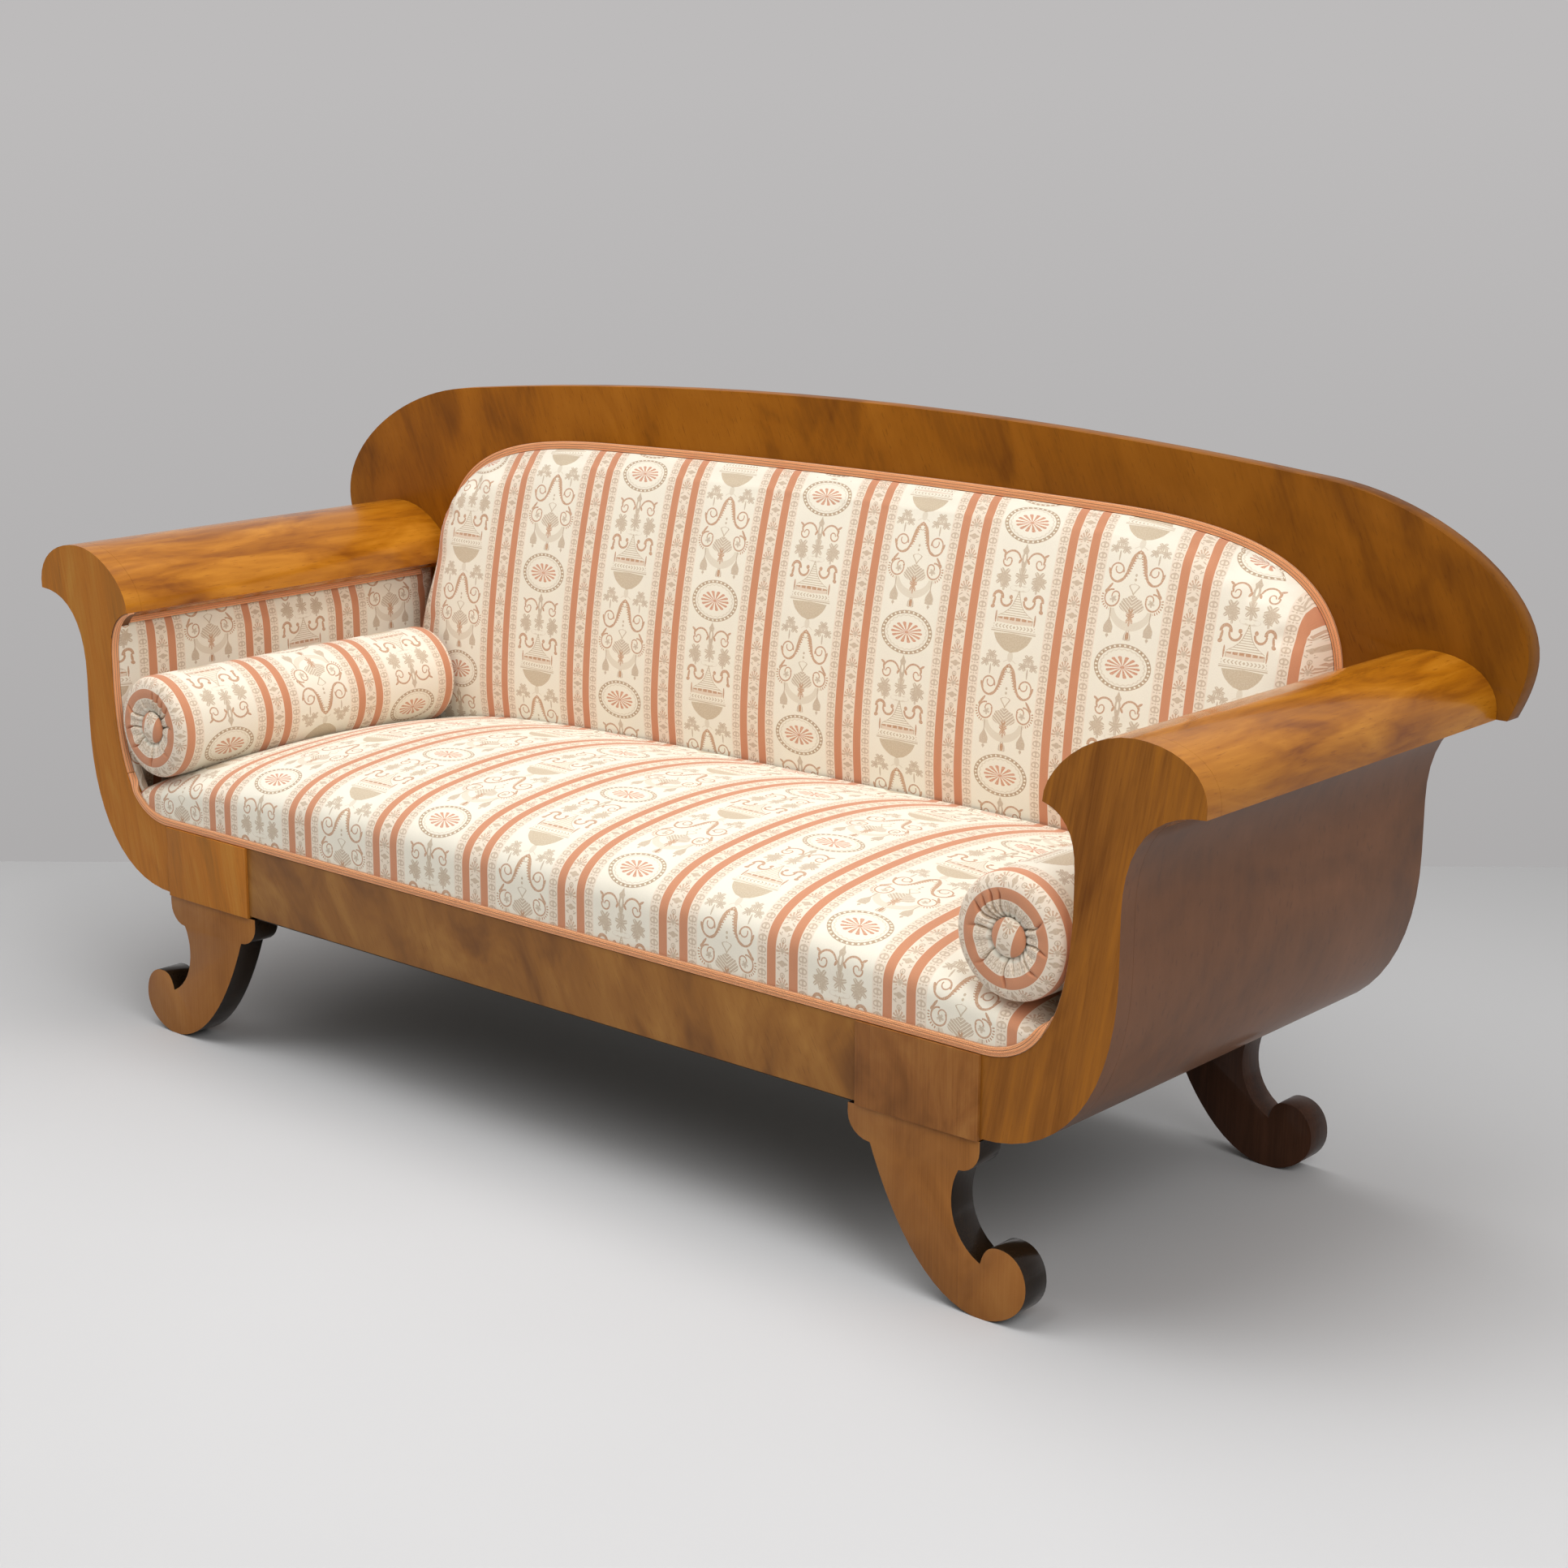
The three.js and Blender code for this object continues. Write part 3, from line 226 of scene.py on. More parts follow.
def close_behind(bm, move):
    """Turns a sheet into a closed pad: its border goes where move says, and is filled there."""
    border = [edge for edge in bm.edges if edge.is_boundary]
    spread = bmesh.ops.extrude_edge_only(bm, edges=border)["geom"]
    for vert in [v for v in spread if isinstance(v, bmesh.types.BMVert)]:
        vert.co = move(vert.co)
    bmesh.ops.remove_doubles(bm, verts=bm.verts, dist=1e-5)
    rim = [edge for edge in bm.edges if edge.is_boundary]
    filled = bmesh.ops.holes_fill(bm, edges=rim, sides=0)["faces"]
    bmesh.ops.triangulate(bm, faces=filled)
    bmesh.ops.recalc_face_normals(bm, faces=bm.faces)


def piece_of(bm, name, material, body, replaced, angle=60):
    """Object from a finished bmesh, riding its body in place of a CAD solid."""
    mesh = bpy.data.meshes.new(name)
    bm.to_mesh(mesh)
    bm.free()
    for polygon in mesh.polygons:
        polygon.use_smooth = True
    mesh.set_sharp_from_angle(angle=radians(angle))
    mesh.materials.append(material)
    piece = bpy.data.objects.new(name, mesh)
    bpy.context.scene.collection.objects.link(piece)
    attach(piece, body)
    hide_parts(replaced)
    return piece


cloth_frames = 20
stuffing_pressure = 4


def swollen(bm, limit):
    """The stuffing presses the cover out from its tacked border; no point moves further than limit."""
    bm.verts.index_update()
    border = [v.index for v in bm.verts if v.is_boundary]
    mesh = bpy.data.meshes.new("pressing")
    bm.to_mesh(mesh)
    bm.free()
    pad = bpy.data.objects.new("pressing", mesh)
    bpy.context.scene.collection.objects.link(pad)
    tacked = pad.vertex_groups.new(name="tacked")
    tacked.add(border, 1.0, "REPLACE")
    cloth = pad.modifiers.new("cloth", "CLOTH")
    cloth.settings.quality = 4
    cloth.settings.mass = 0.3
    cloth.settings.tension_stiffness = cloth.settings.compression_stiffness = 12
    cloth.settings.bending_stiffness = 1.0
    cloth.settings.use_pressure = True
    cloth.settings.uniform_pressure_force = stuffing_pressure
    cloth.settings.vertex_group_mass = "tacked"
    cloth.settings.effector_weights.gravity = 0
    cloth.collision_settings.use_collision = False
    cloth.point_cache.frame_start, cloth.point_cache.frame_end = 1, cloth_frames
    for number in range(1, cloth_frames + 1):
        bpy.context.scene.frame_set(number)
    view = bpy.context.evaluated_depsgraph_get()
    shaped = pad.evaluated_get(view).to_mesh()
    rest = np.array([v.co for v in mesh.vertices])
    shift = np.array([v.co for v in shaped.vertices]) - rest
    far = np.maximum(np.linalg.norm(shift, axis=1, keepdims=True), 1e-9)
    placed = rest + shift * limit * np.tanh(far / limit) / far
    pad.evaluated_get(view).to_mesh_clear()
    bpy.data.objects.remove(pad)
    bpy.context.scene.frame_set(1)
    bm = bmesh.new()
    bm.from_mesh(mesh)
    bpy.data.meshes.remove(mesh)
    for vert, point in zip(bm.verts, placed):
        vert.co = point
    return bm


# ---------------------------------------------------------------- sizes of the CAD model, in metres

middle_y = 321.6 * mm
rail_top = 311 * mm
roll_inner = 797 * mm
stem_inner = 841 * mm
block_outer = 724.5 * mm
inner_sweep_top = 500 * mm
cove_bottom = 540 * mm
roll_inner_corner = 610 * mm
roll_top_edge = 612 * mm
roll_seat = 600 * mm
panel_thickness = 26 * mm
pad_top = 830 * mm
shoulder = (470 * mm, 823.5 * mm)
waist = 640 * mm
hip = (824 * mm, 440 * mm)
pad_foot = 330 * mm
pad_rear = 615.9 * mm
pad_thickness = 79 * mm
pad_top_thickness = 22 * mm
pad_round = 36 * mm
arm_face = 829 * mm
arm_back = 848 * mm
arm_crown = 12 * mm
seat_half = 822 * mm
seat_front = 2 * mm
seat_back = 532.9 * mm
seat_bottom = 312.6 * mm
seat_nose = 113 * mm
seat_rise = 103 * mm
seat_crown = 33 * mm
braid_thickness = 3.4 * mm
braid_recess = 1.7 * mm
arch_braid_y = 617.7 * mm
seam = 0.3 * mm
bolster_radius = 73.5 * mm
bolster_edge = (24 * mm, 18 * mm)
button_radius = 22.5 * mm
mirror = np.array([-1, 1])


def sweep_run():
    """Inner edge of the right arm's stem: its sweep from the rail up, and the cove under the roll."""
    width, height = stem_inner - block_outer, inner_sweep_top - rail_top
    sweep = bezier((stem_inner, inner_sweep_top), (stem_inner - 0.026 * width, inner_sweep_top - 0.61 * height),
                   (block_outer + 0.72 * width, rail_top), (block_outer, rail_top), 160)[::-1]
    run, drop = stem_inner - roll_inner, roll_inner_corner - cove_bottom
    cove = bezier((roll_inner, roll_inner_corner), (roll_inner + 0.57 * run, roll_inner_corner - 0.09 * drop),
                  (stem_inner, cove_bottom + 0.64 * drop), (stem_inner, cove_bottom), 60)[::-1]
    return sweep, cove


def arch_run():
    """Edge of the back board's reveal, from the middle to the waist on the right."""
    crown = bezier((0, pad_top), (shoulder[0] / 3, pad_top),
                   (2 * shoulder[0] / 3, pad_top - (pad_top - shoulder[1]) / 3), shoulder, 12)
    width = roll_inner - shoulder[0]
    corner = bezier(shoulder, (shoulder[0] + 0.52 * width, shoulder[1] - 6.5 * mm),
                    (roll_inner, waist + 0.82 * (shoulder[1] - waist)), (roll_inner, waist), 30)
    return run_of(crown, corner)


def sideways(points, distance):
    """An open run moved to the left of its direction."""
    before, after = np.r_[points[:1], points[:-1]], np.r_[points[1:], points[-1:]]
    step = after - before
    step /= np.hypot(*step.T)[:, None]
    return points + distance * np.stack([-step[:, 1], step[:, 0]], axis=1)


def dome(share, fullness, edge):
    """Superellipse quarter: 1 in the middle, 0 at the edge."""
    return np.maximum(1 - np.minimum(np.abs(share), 1) ** fullness, 0) ** edge


# ---------------------------------------------------------------- cover

cover_name = "Jacquard stripe, woven cotton and silk"
widest = 60.0
thread_pitch = 1.2


def cover_material():
    """Cotton and silk stripe, jacquard woven: matt cream ground with a slight satin, flat coral
    stripes, and figures in rose, taupe and grey. Sizes are in millimetres: a runs from the middle of
    a column of motifs, w down one repeat, and d from the middle between two columns."""
    colours = bpy.context.scene.settee_cover
    material, tree, shader = finish(cover_name, {
        "Roughness": 0.72, "Sheen Weight": 0.2, "Sheen Roughness": 0.5, "Specular IOR Level": 0.3})
    node = partial(add, tree)
    pitch, rise, start = colours.repeat * 1000, 337.0, -31
    millimetres = node("VectorMath/MULTIPLY", [node("UVMap", uv_map="pattern"), (1000, 1000, 0)])
    u = node("SeparateXYZ", [millimetres])
    v = u.node.outputs[1]
    column = node("Math/ROUND", [node("Math/DIVIDE", [u, pitch])])
    a = node("Math/ABSOLUTE", [node("Math/MULTIPLY_ADD", [column, -pitch, u])])
    odd = node("Math/FLOORED_MODULO", [column, 2])
    w = node("Math/WRAP", [node("Math/MULTIPLY_ADD", [odd, rise / 2, v]), rise + start, start])
    spot = node("CombineXYZ", [a, w])
    share = node("Math/MULTIPLY_ADD", [w, 1 / rise, -start / rise])

    def joined(how, *masks):
        """Masks taken one after another: MAXIMUM unites, MULTIPLY keeps the overlap, SUBTRACT cuts out."""
        return reduce(lambda first, mask: node("Math/" + how, [first, mask], use_clamp=True), masks)

    def around(x, y, wide, high, turn=0, at=spot):
        """Place seen from the middle of an oval, and its distance, which is 1 on the oval."""
        local = node("Mapping", {"Vector": at, "Location": (x, y, 0), "Rotation": (0, 0, radians(turn)),
                                 "Scale": (wide, high, 1)}, vector_type="TEXTURE")
        return local, node("VectorMath/LENGTH", [local], out=1)

    def waves(local, count, shape="COSINE"):
        """Waves round the middle of an oval."""
        parts = node("SeparateXYZ", [local])
        angle = node("Math/ARCTAN2", [parts.node.outputs[1], parts])
        return node("Math/" + shape, [node("Math/MULTIPLY", [angle, count])])

    def ovals(*rows, at=spot):
        """Filled ovals, each given by its middle, half sizes and turn in degrees."""
        return joined("MAXIMUM", *(node("Math/LESS_THAN", [around(*row, at=at)[1], 1]) for row in rows))

    def hoops(*rows, at=spot):
        """Thin rings given by middle, radius and width, or only their parts between two heights."""
        rings = []
        for x, y, radius, width, *span in rows:
            ring = node("Math/COMPARE", [around(x, y, radius, radius, at=at)[1], 1, width / 2 / radius])
            if span:
                low, high = span
                ring = joined("MULTIPLY", ring, node("Math/COMPARE", [w, (low + high) / 2, (high - low) / 2]))
            rings.append(ring)
        return joined("MAXIMUM", *rings)

    def leaves(*rows, at=spot):
        """Leaves with rounded lobes and pale veins: middle, half sizes, number of lobes and turn."""
        blades = []
        for x, y, wide, high, lobes, turn in rows:
            local, distance = around(x, y, wide, high, turn, at)
            notch = node("Math/ABSOLUTE", [waves(local, lobes / 2, "SINE")])
            edge = node("Math/MULTIPLY_ADD", [node("Math/POWER", [notch, 3.0]), -0.52, 1.0])
            flesh = joined("MAXIMUM", node("Math/GREATER_THAN", [notch, 0.13]),
                           node("Math/LESS_THAN", [distance, 0.3]))
            blades.append(joined("MULTIPLY", node("Math/LESS_THAN", [distance, edge]), flesh))
        return joined("MAXIMUM", *blades)

    def outline(points, offset=0, inset=0, rim=0, foot=0):
        """Shape given by heights of the repeat and half widths there, about the line a = offset: the
        whole of it, the part that lies inset from its edge, or its rim alone."""
        points = [(start, 0), *points, (rise + start, foot)]
        width = node("FloatCurve", {"Value": share}, curve=[((h - start) / rise, x / widest) for h, x in points])
        side = node("Math/ABSOLUTE", [node("Math/SUBTRACT", [a, offset])])
        within = node("Math/SUBTRACT", [width, node("Math/MULTIPLY", [side, 1 / widest])])
        if rim:
            return node("Math/COMPARE", [within, rim / 2 / widest, rim / 2 / widest])
        return node("Math/GREATER_THAN", [within, inset / widest])

    def lines(value, spacing, thick):
        """1 except on thin lines at a spacing."""
        return node("Math/GREATER_THAN", [node("Math/FLOORED_MODULO", [value, spacing]), thick])

    # Medallion: a rope of beads, a row of bubbles and a rosette of thin rays
    local, distance = around(0, 2.5, 43, 29.3)
    pearls = node("Math/COMPARE", [distance, 0.93, node("Math/MULTIPLY", [waves(local, 32), 0.045])])
    rope = joined("SUBTRACT", node("Math/COMPARE", [distance, 0.9275, 0.0725]), pearls)
    bubbles = node("Math/COMPARE", [distance, node("Math/MULTIPLY_ADD", [waves(local, 24), 0.022, 0.77]), 0.025])
    local, distance = around(0, 2.5, 26.5, 14)
    spokes = waves(local, 14)
    rays = joined("MULTIPLY", node("Math/LESS_THAN", [distance, node("Math/MULTIPLY_ADD", [spokes, 0.05, 0.95])]),
                  joined("MAXIMUM", node("Math/GREATER_THAN", [spokes, -0.15]),
                         node("Math/COMPARE", [distance, 0.06, 0.06])))

    # Urn: a striped roof, a box, a row of chevrons between two rims, and the bowl
    roof = [(94, 0), (96, 1.2), (102, 3), (113, 7.5), (119, 12), (124.4, 19), (127.8, 25.5), (130, 28.5), (130.6, 0)]
    cone = joined("MAXIMUM", outline(roof, rim=1.4), joined("SUBTRACT", outline(roof), lines(w, 3.1, 1.1)))
    box = [(129.6, 0), (130, 28.5), (138.2, 28.5), (138.6, 0)]
    bowl = outline([(151.4, 0), (151.9, 30.6), (154, 29.8), (158, 28), (163.3, 24.4), (168.9, 17.8), (173.3, 10.5),
                    (175.2, 1), (175.6, 0)])
    tilt = node("Math/ADD", [node("Math/ABSOLUTE", [node("Math/SUBTRACT", [w, 142.7])]), a])
    chevrons = joined("MULTIPLY", node("Math/COMPARE", [w, 142.7, 2.5]), node("Math/LESS_THAN", [a, 33]),
                      node("Math/LESS_THAN", [node("Math/FLOORED_MODULO", [tilt, 5.6]), 2.2]))
    rims = joined("MULTIPLY", node("Math/LESS_THAN", [a, 35.5]),
                  joined("MAXIMUM", node("Math/COMPARE", [w, 149.4, 0.8]), node("Math/COMPARE", [w, 147.15, 0.35])))

    # Bouquet: a bud, bells, an arched stem, a pendant, a bloom, a toothed wheel, a swag and a garland
    bud = joined("SUBTRACT", outline([(32.5, 0), (38, 2.5), (41.5, 5), (46, 3.4), (50, 4.6), (57, 4.4), (62, 3.6),
                                      (66, 2.2), (70, 1.6), (74, 0.4), (76, 0)]), ovals((0, 51.5, 1.6, 5.4)))
    bells = outline([(267, 0), (268, 0.7), (279, 0.8), (282, 1.8), (286, 4.4), (290, 6.6), (294, 6.9), (296, 6),
                     (299, 7.2), (299.4, 0), (300.2, 1.6), (302, 2.4), (304, 1.2), (305, 0)], offset=30)
    tail = outline([(292, 0), (294, 3), (298, 4.6), (304, 6.6), (305.5, 5)], foot=3)
    arch = outline([(189.9, 0), (191, 3.2), (193, 5), (196.7, 8.8), (202, 11.4), (207.8, 12.9), (213, 14.4),
                    (219, 15.5), (224, 17.6), (228, 20), (231, 25), (234, 31), (234.4, 0)])
    hollow = [(192, 0), (193.4, 1.2), (196.7, 4.6), (202, 5.4), (207.8, 7.2), (213, 9.4), (219, 11), (224, 14),
              (228, 17.4), (231, 22), (233, 27), (234.3, 31), (234.5, 0)]
    arched = joined("SUBTRACT", arch, joined("MULTIPLY", outline(hollow), joined(
        "MAXIMUM", lines(w, 3.4, 1.5), outline(hollow, inset=2.2))))
    pendant = outline([(233.5, 0), (235, 6), (236.5, 8.6), (239.5, 6.6), (243.5, 3.2), (248.4, 0.2), (249, 0)], rim=2)
    bloom = outline([(247.8, 0), (248.5, 4), (250.5, 6.6), (252, 7.4), (252.6, 13.6), (255, 14.6), (258, 16),
                     (262, 19), (266, 17), (269, 12), (270.5, 7), (271.5, 0)])
    veins = lines(node("Math/MULTIPLY_ADD", [a, 0.8, w]), 4.6, 1.1)
    local, distance = around(30.8, 254.4, 1, 1)
    outer = node("Math/GREATER_THAN", [a, 33])
    teeth = joined("MULTIPLY", node("Math/COMPARE", [distance, 14.4, 1.7]), outer,
                   node("Math/GREATER_THAN", [waves(local, 26), 0.0]), node("Math/COMPARE", [w, 259.75, 10.25]))
    wheel = joined("MULTIPLY", hoops((30.8, 254.4, 10.6, 2.2, 240, 268)), joined(
        "MAXIMUM", node("Math/GREATER_THAN", [a, 29]), node("Math/COMPARE", [w, 259, 9])))
    swag = joined("MULTIPLY", joined("SUBTRACT", ovals((0, 263, 33, 30.5)), ovals((0, 263, 25.5, 20))),
                  node("Math/COMPARE", [w, 280.5, 13.5]))
    garland = joined("SUBTRACT", ovals((0, 92, 15.6, 4.4)), ovals((0, 91.6, 7, 3.2), (10, 91.8, 4.6, 2.8)))

    scrolls = joined(
        "MAXIMUM", arched, wheel, teeth,
        hoops((19.4, 57.2, 13.6, 2.6, 42, 53), (26.4, 58, 6.6, 2.1, 56, 68), (23.6, 57.6, 4.2, 1.7, 50, 58),
              (31.9, 106, 7.2, 4.2, 96, 107), (18.3, 107.6, 8.6, 3.2, 107, 119), (29.2, 219.5, 9.6, 2.1, 206, 221),
              (27.6, 221.2, 12.2, 2.7, 221, 236), (26.4, 216.8, 5.6, 1.7, 214, 224),
              (25.6, 251.4, 5.6, 1.8, 244, 252)),
        ovals((33.4, 46, 4.2, 1.6, -32), (31.6, 53, 1.5, 5, 14), (6.5, 56, 1.8, 4, -30), (37.6, 112, 2, 6.6, -10),
              (38.6, 118.6, 3.4, 2.6, 20), (11.6, 104.2, 2.8, 2.9), (26.2, 104.8, 1.9, 3), (31, 131, 1.4, 8),
              (39.8, 222, 1.9, 5.6, 22), (36.6, 241, 1.7, 6.8, -38), (39.6, 246, 3.6, 2.4, 40)))
    foliage = joined(
        "MAXIMUM", bud, bells, ovals((29.6, 200, 1.2, 7)), joined("MULTIPLY", bloom, veins),
        joined("MULTIPLY", tail, lines(a, 2.6, 0.8)),
        leaves((0, 77, 13.4, 10.6, 7, 90), (27.6, 76, 10, 11, 5, 90), (32, 82, 9.4, 9, 5, 40),
               (24, 84, 8.6, 8, 5, 130), (26, 89, 8, 6, 5, 90), (29.6, 181, 6.8, 9.4, 5, 90),
               (22.4, 190.5, 6.6, 9.4, 5, 65), (37.4, 190.5, 6.6, 9.4, 5, 115), (28.6, 255.6, 5, 5.4, 5, 90)))
    shaded = joined("MAXIMUM", cone, bowl, rims, chevrons, outline(box, rim=1.2), pendant,
                    ovals((0, 222.4, 1.7, 1.8), (0, 228.4, 1.7, 1.9)), hoops((0, 197.4, 3.8, 1.2)))
    pale = joined("MAXIMUM", bubbles, swag, garland, ovals((0, 181, 4.4, 7)), hoops((0, 199, 14, 1.2, 180, 189)))
    dashes = node("Math/COMPARE", [node("Math/FLOORED_MODULO", [a, 9.6]), 4.8, 3.6])
    flowers = joined("MAXIMUM", leaves((0, 275.5, 12.4, 6.4, 7, 90)), ovals((0, 300, 2.6, 5)),
                     joined("MULTIPLY", ovals((0, 132, 28, 2)), dashes))

    # Stripes: a band of fans between two coral bars, with a strip of lace outside each
    d = node("Math/SUBTRACT", [pitch / 2, a])
    q = node("Math/FLOORED_MODULO", [v, rise / 8])
    cell = node("CombineXYZ", [d, q])
    local, distance = around(0, 17.5, 9.6, 11, at=cell)
    fans = joined("MULTIPLY", node("Math/COMPARE", [distance, 0.73, 0.27]), node("Math/COMPARE", [q, 13.3, 7.7]),
                  node("Math/GREATER_THAN", [waves(local, 12), -0.1]))
    links = joined("MAXIMUM", leaves((0, 16, 4.6, 5.6, 5, 90), at=cell), hoops((0, 4, 3, 1.3), at=cell),
                   ovals((0, 31.6, 8.2, 2.2), (0, 31.8, 4, 4), (0, 4.6, 1.2, 2.2), (6, 25, 3.6, 0.9, 32),
                         (6.4, 39, 3, 0.9, -30), (5, 37, 1, 1), at=cell))
    lace_cell = node("CombineXYZ", [d, node("Math/FLOORED_MODULO", [v, rise / 24])])
    lace = joined("MAXIMUM", hoops((28.7, 6.4, 2.9, 1.8), (33.9, 6.4, 2.9, 1.8), at=lace_cell),
                  ovals((31.3, 2.8, 3.2, 1.2), (31.3, 9.8, 1.5, 1.1), (27, 12.6, 1.8, 0.8), (35.6, 12.6, 1.8, 0.8),
                        (31.3, 12.9, 1.1, 1.1), at=lace_cell))
    bars = node("Math/COMPARE", [d, 16.9, 6.7])
    strip = node("Math/LESS_THAN", [d, 39])

    # Woven figures are broken up by the threads that cross them, so their colour is uneven
    fleck = node("TexNoise", {"Vector": millimetres, "Scale": 0.55, "Detail": 2.0})
    broken = node("MapRange", [fleck, 0.35, 0.6, 0.72, 1.0])
    cloud = node("TexNoise", {"Vector": millimetres, "Scale": 0.012, "Detail": 4.0})
    ground = (*colours.cream, 1)
    for mask, colour, strength in (
            (strip, linear("#EEDBC6"), 0.75), (outline(box), linear("#E2CDB6"), 0.9), (pale, colours.grey, 0.34),
            (shaded, colours.grey, 0.8), (rope, colours.taupe, 0.9), (foliage, colours.taupe, 0.66),
            (joined("MULTIPLY", lace, strip), colours.taupe, 0.55), (scrolls, colours.rose, 0.85),
            (flowers, colours.rose, 0.85), (rays, colours.coral, 0.95), (links, colours.taupe, 0.6),
            (fans, colours.rose, 0.66)):
        amount = node("Math/MULTIPLY", [node("Math/MULTIPLY", [mask, strength]), broken])
        ground = node("Mix", {0: amount, 6: ground, 7: (*colour, 1)}, out=2, data_type="RGBA")
    ground = node("Mix", {0: bars, 6: ground, 7: (*colours.coral, 1)}, out=2, data_type="RGBA")
    shade = node("Math/MULTIPLY", [node("Math/MULTIPLY_ADD", [value, 0.10, 0.95]) for value in (cloud, fleck)])
    tint = node("CombineXYZ", [shade, shade, shade])
    colour = node("Mix", {0: 1.0, 6: ground, 7: tint}, out=2, data_type="RGBA", blend_type="MULTIPLY")
    # The threads are coarser than the real ones, so that they show
    threads = [node("Math/SINE", [node("Math/MULTIPLY", [value, 2 * pi / thread_pitch])]) for value in (v, u)]
    wear(tree, shader, colour, node("Math/MULTIPLY", threads), 0.00012)
    return material


def cover():
    return bpy.data.materials.get(cover_name) or cover_material()


# ---------------------------------------------------------------- wood


def veneer(name, tone, dark, light, grain, patch, slots=0.3, gloss=0.3, turn=0, coat=0.1, painted_light_ends=None):
    """Figured veneer under shellac: grain and patch are the lengths, in metres along x, y and z, of the fine streaks
    and of the broad light and dark figure, turned by degrees in the front view; the polish gives a soft clear
    highlight. Fall, when given, is painted light and shade: the brightness at the left and at the right end."""
    material, tree, shader = finish(name, {
        "Roughness": gloss + 0.1, "Specular IOR Level": coat * 1.5, "Coat Weight": coat,
        "Coat Roughness": gloss / 3, "Coat IOR": 1.45})
    node = partial(add, tree)
    dark, light = linear(dark), linear(light)
    place = node("TexCoord", out=3)
    turned = node("Mapping", {"Vector": place, "Rotation": (0, radians(turn), 0)})
    pore = [min(max(s * 0.3, 0.0007), 0.02) for s in grain]
    streaked, patched, pored = (node("VectorMath/MULTIPLY", [turned, tuple(1 / s for s in sizes)])
                                for sizes in (grain, patch, pore))
    streak = node("TexNoise", {"Vector": streaked, "Scale": 1.0, "Detail": 7.0, "Roughness": 0.6})
    figure = node("TexNoise", {"Vector": patched, "Scale": 1.0, "Detail": 3.5, "Roughness": 0.55, "Distortion": 0.9})
    mixed = node("Math/MULTIPLY_ADD", [streak, slots, node("Math/MULTIPLY", [figure, 1 - slots])])
    colour = node("ValToRGB", [mixed], stops=[(0.3, dark), (0.5, tone), (0.7, light)])
    pitted = node("MapRange", [node("TexNoise", {"Vector": pored, "Scale": 1.0, "Detail": 2.0}), 0.62, 0.72, 0.0, 1.0])
    toned = node("Mix", {0: node("Math/MULTIPLY", [pitted, 0.45]), 6: colour, 7: (*dark, 1)}, out=2, data_type="RGBA")
    # Painted light and shade: one end of the piece is lighter and the other darker.
    if painted_light_ends:
        across = node("MapRange", [node("SeparateXYZ", [place]), -0.8, 0.8, *painted_light_ends])
        toned = node("VectorMath/SCALE", {0: toned, 3: across})
    wear(tree, shader, toned, node("Math/MULTIPLY_ADD", [streak, 0.6, figure]), 0.00025)
    return material


def faced(piece, outer, inner, top):
    """The veneer of the front is only a sheet: the edges carry others, away from the middle and
    underneath, towards the middle, and over the head."""
    for material in (outer, inner, top):
        piece.data.materials.append(material)
    for polygon in piece.data.polygons:
        normal, centre = polygon.normal, polygon.center
        if abs(normal.y) < 0.6:
            under = normal.z < -0.3
            edge = 1 if under or normal.x * centre.x > 0 else 2
            polygon.material_index = 3 if centre.z > roll_top_edge and not under else edge


def eased(piece, free):
    """Smooth faces; a piece whose edges stand free has them eased by hand, the others meet flush."""
    crease = radians(35)
    weld = piece.modifiers.new("weld", "WELD")
    weld.merge_threshold = 0.00005
    flat = piece.modifiers.new("flat", "DECIMATE")
    flat.decimate_type = "DISSOLVE"
    flat.angle_limit = radians(0.6)
    flat.delimit = {"MATERIAL"}
    if free:
        bevel = piece.modifiers.new("edge", "BEVEL")
        bevel.width = bpy.context.scene.settee_wood.edge
        bevel.segments = 2
        bevel.limit_method = "ANGLE"
        bevel.angle_limit = crease
        bevel.harden_normals = True
    else:
        piece.modifiers.new("edge", "EDGE_SPLIT").split_angle = crease
    for polygon in piece.data.polygons:
        polygon.use_smooth = True


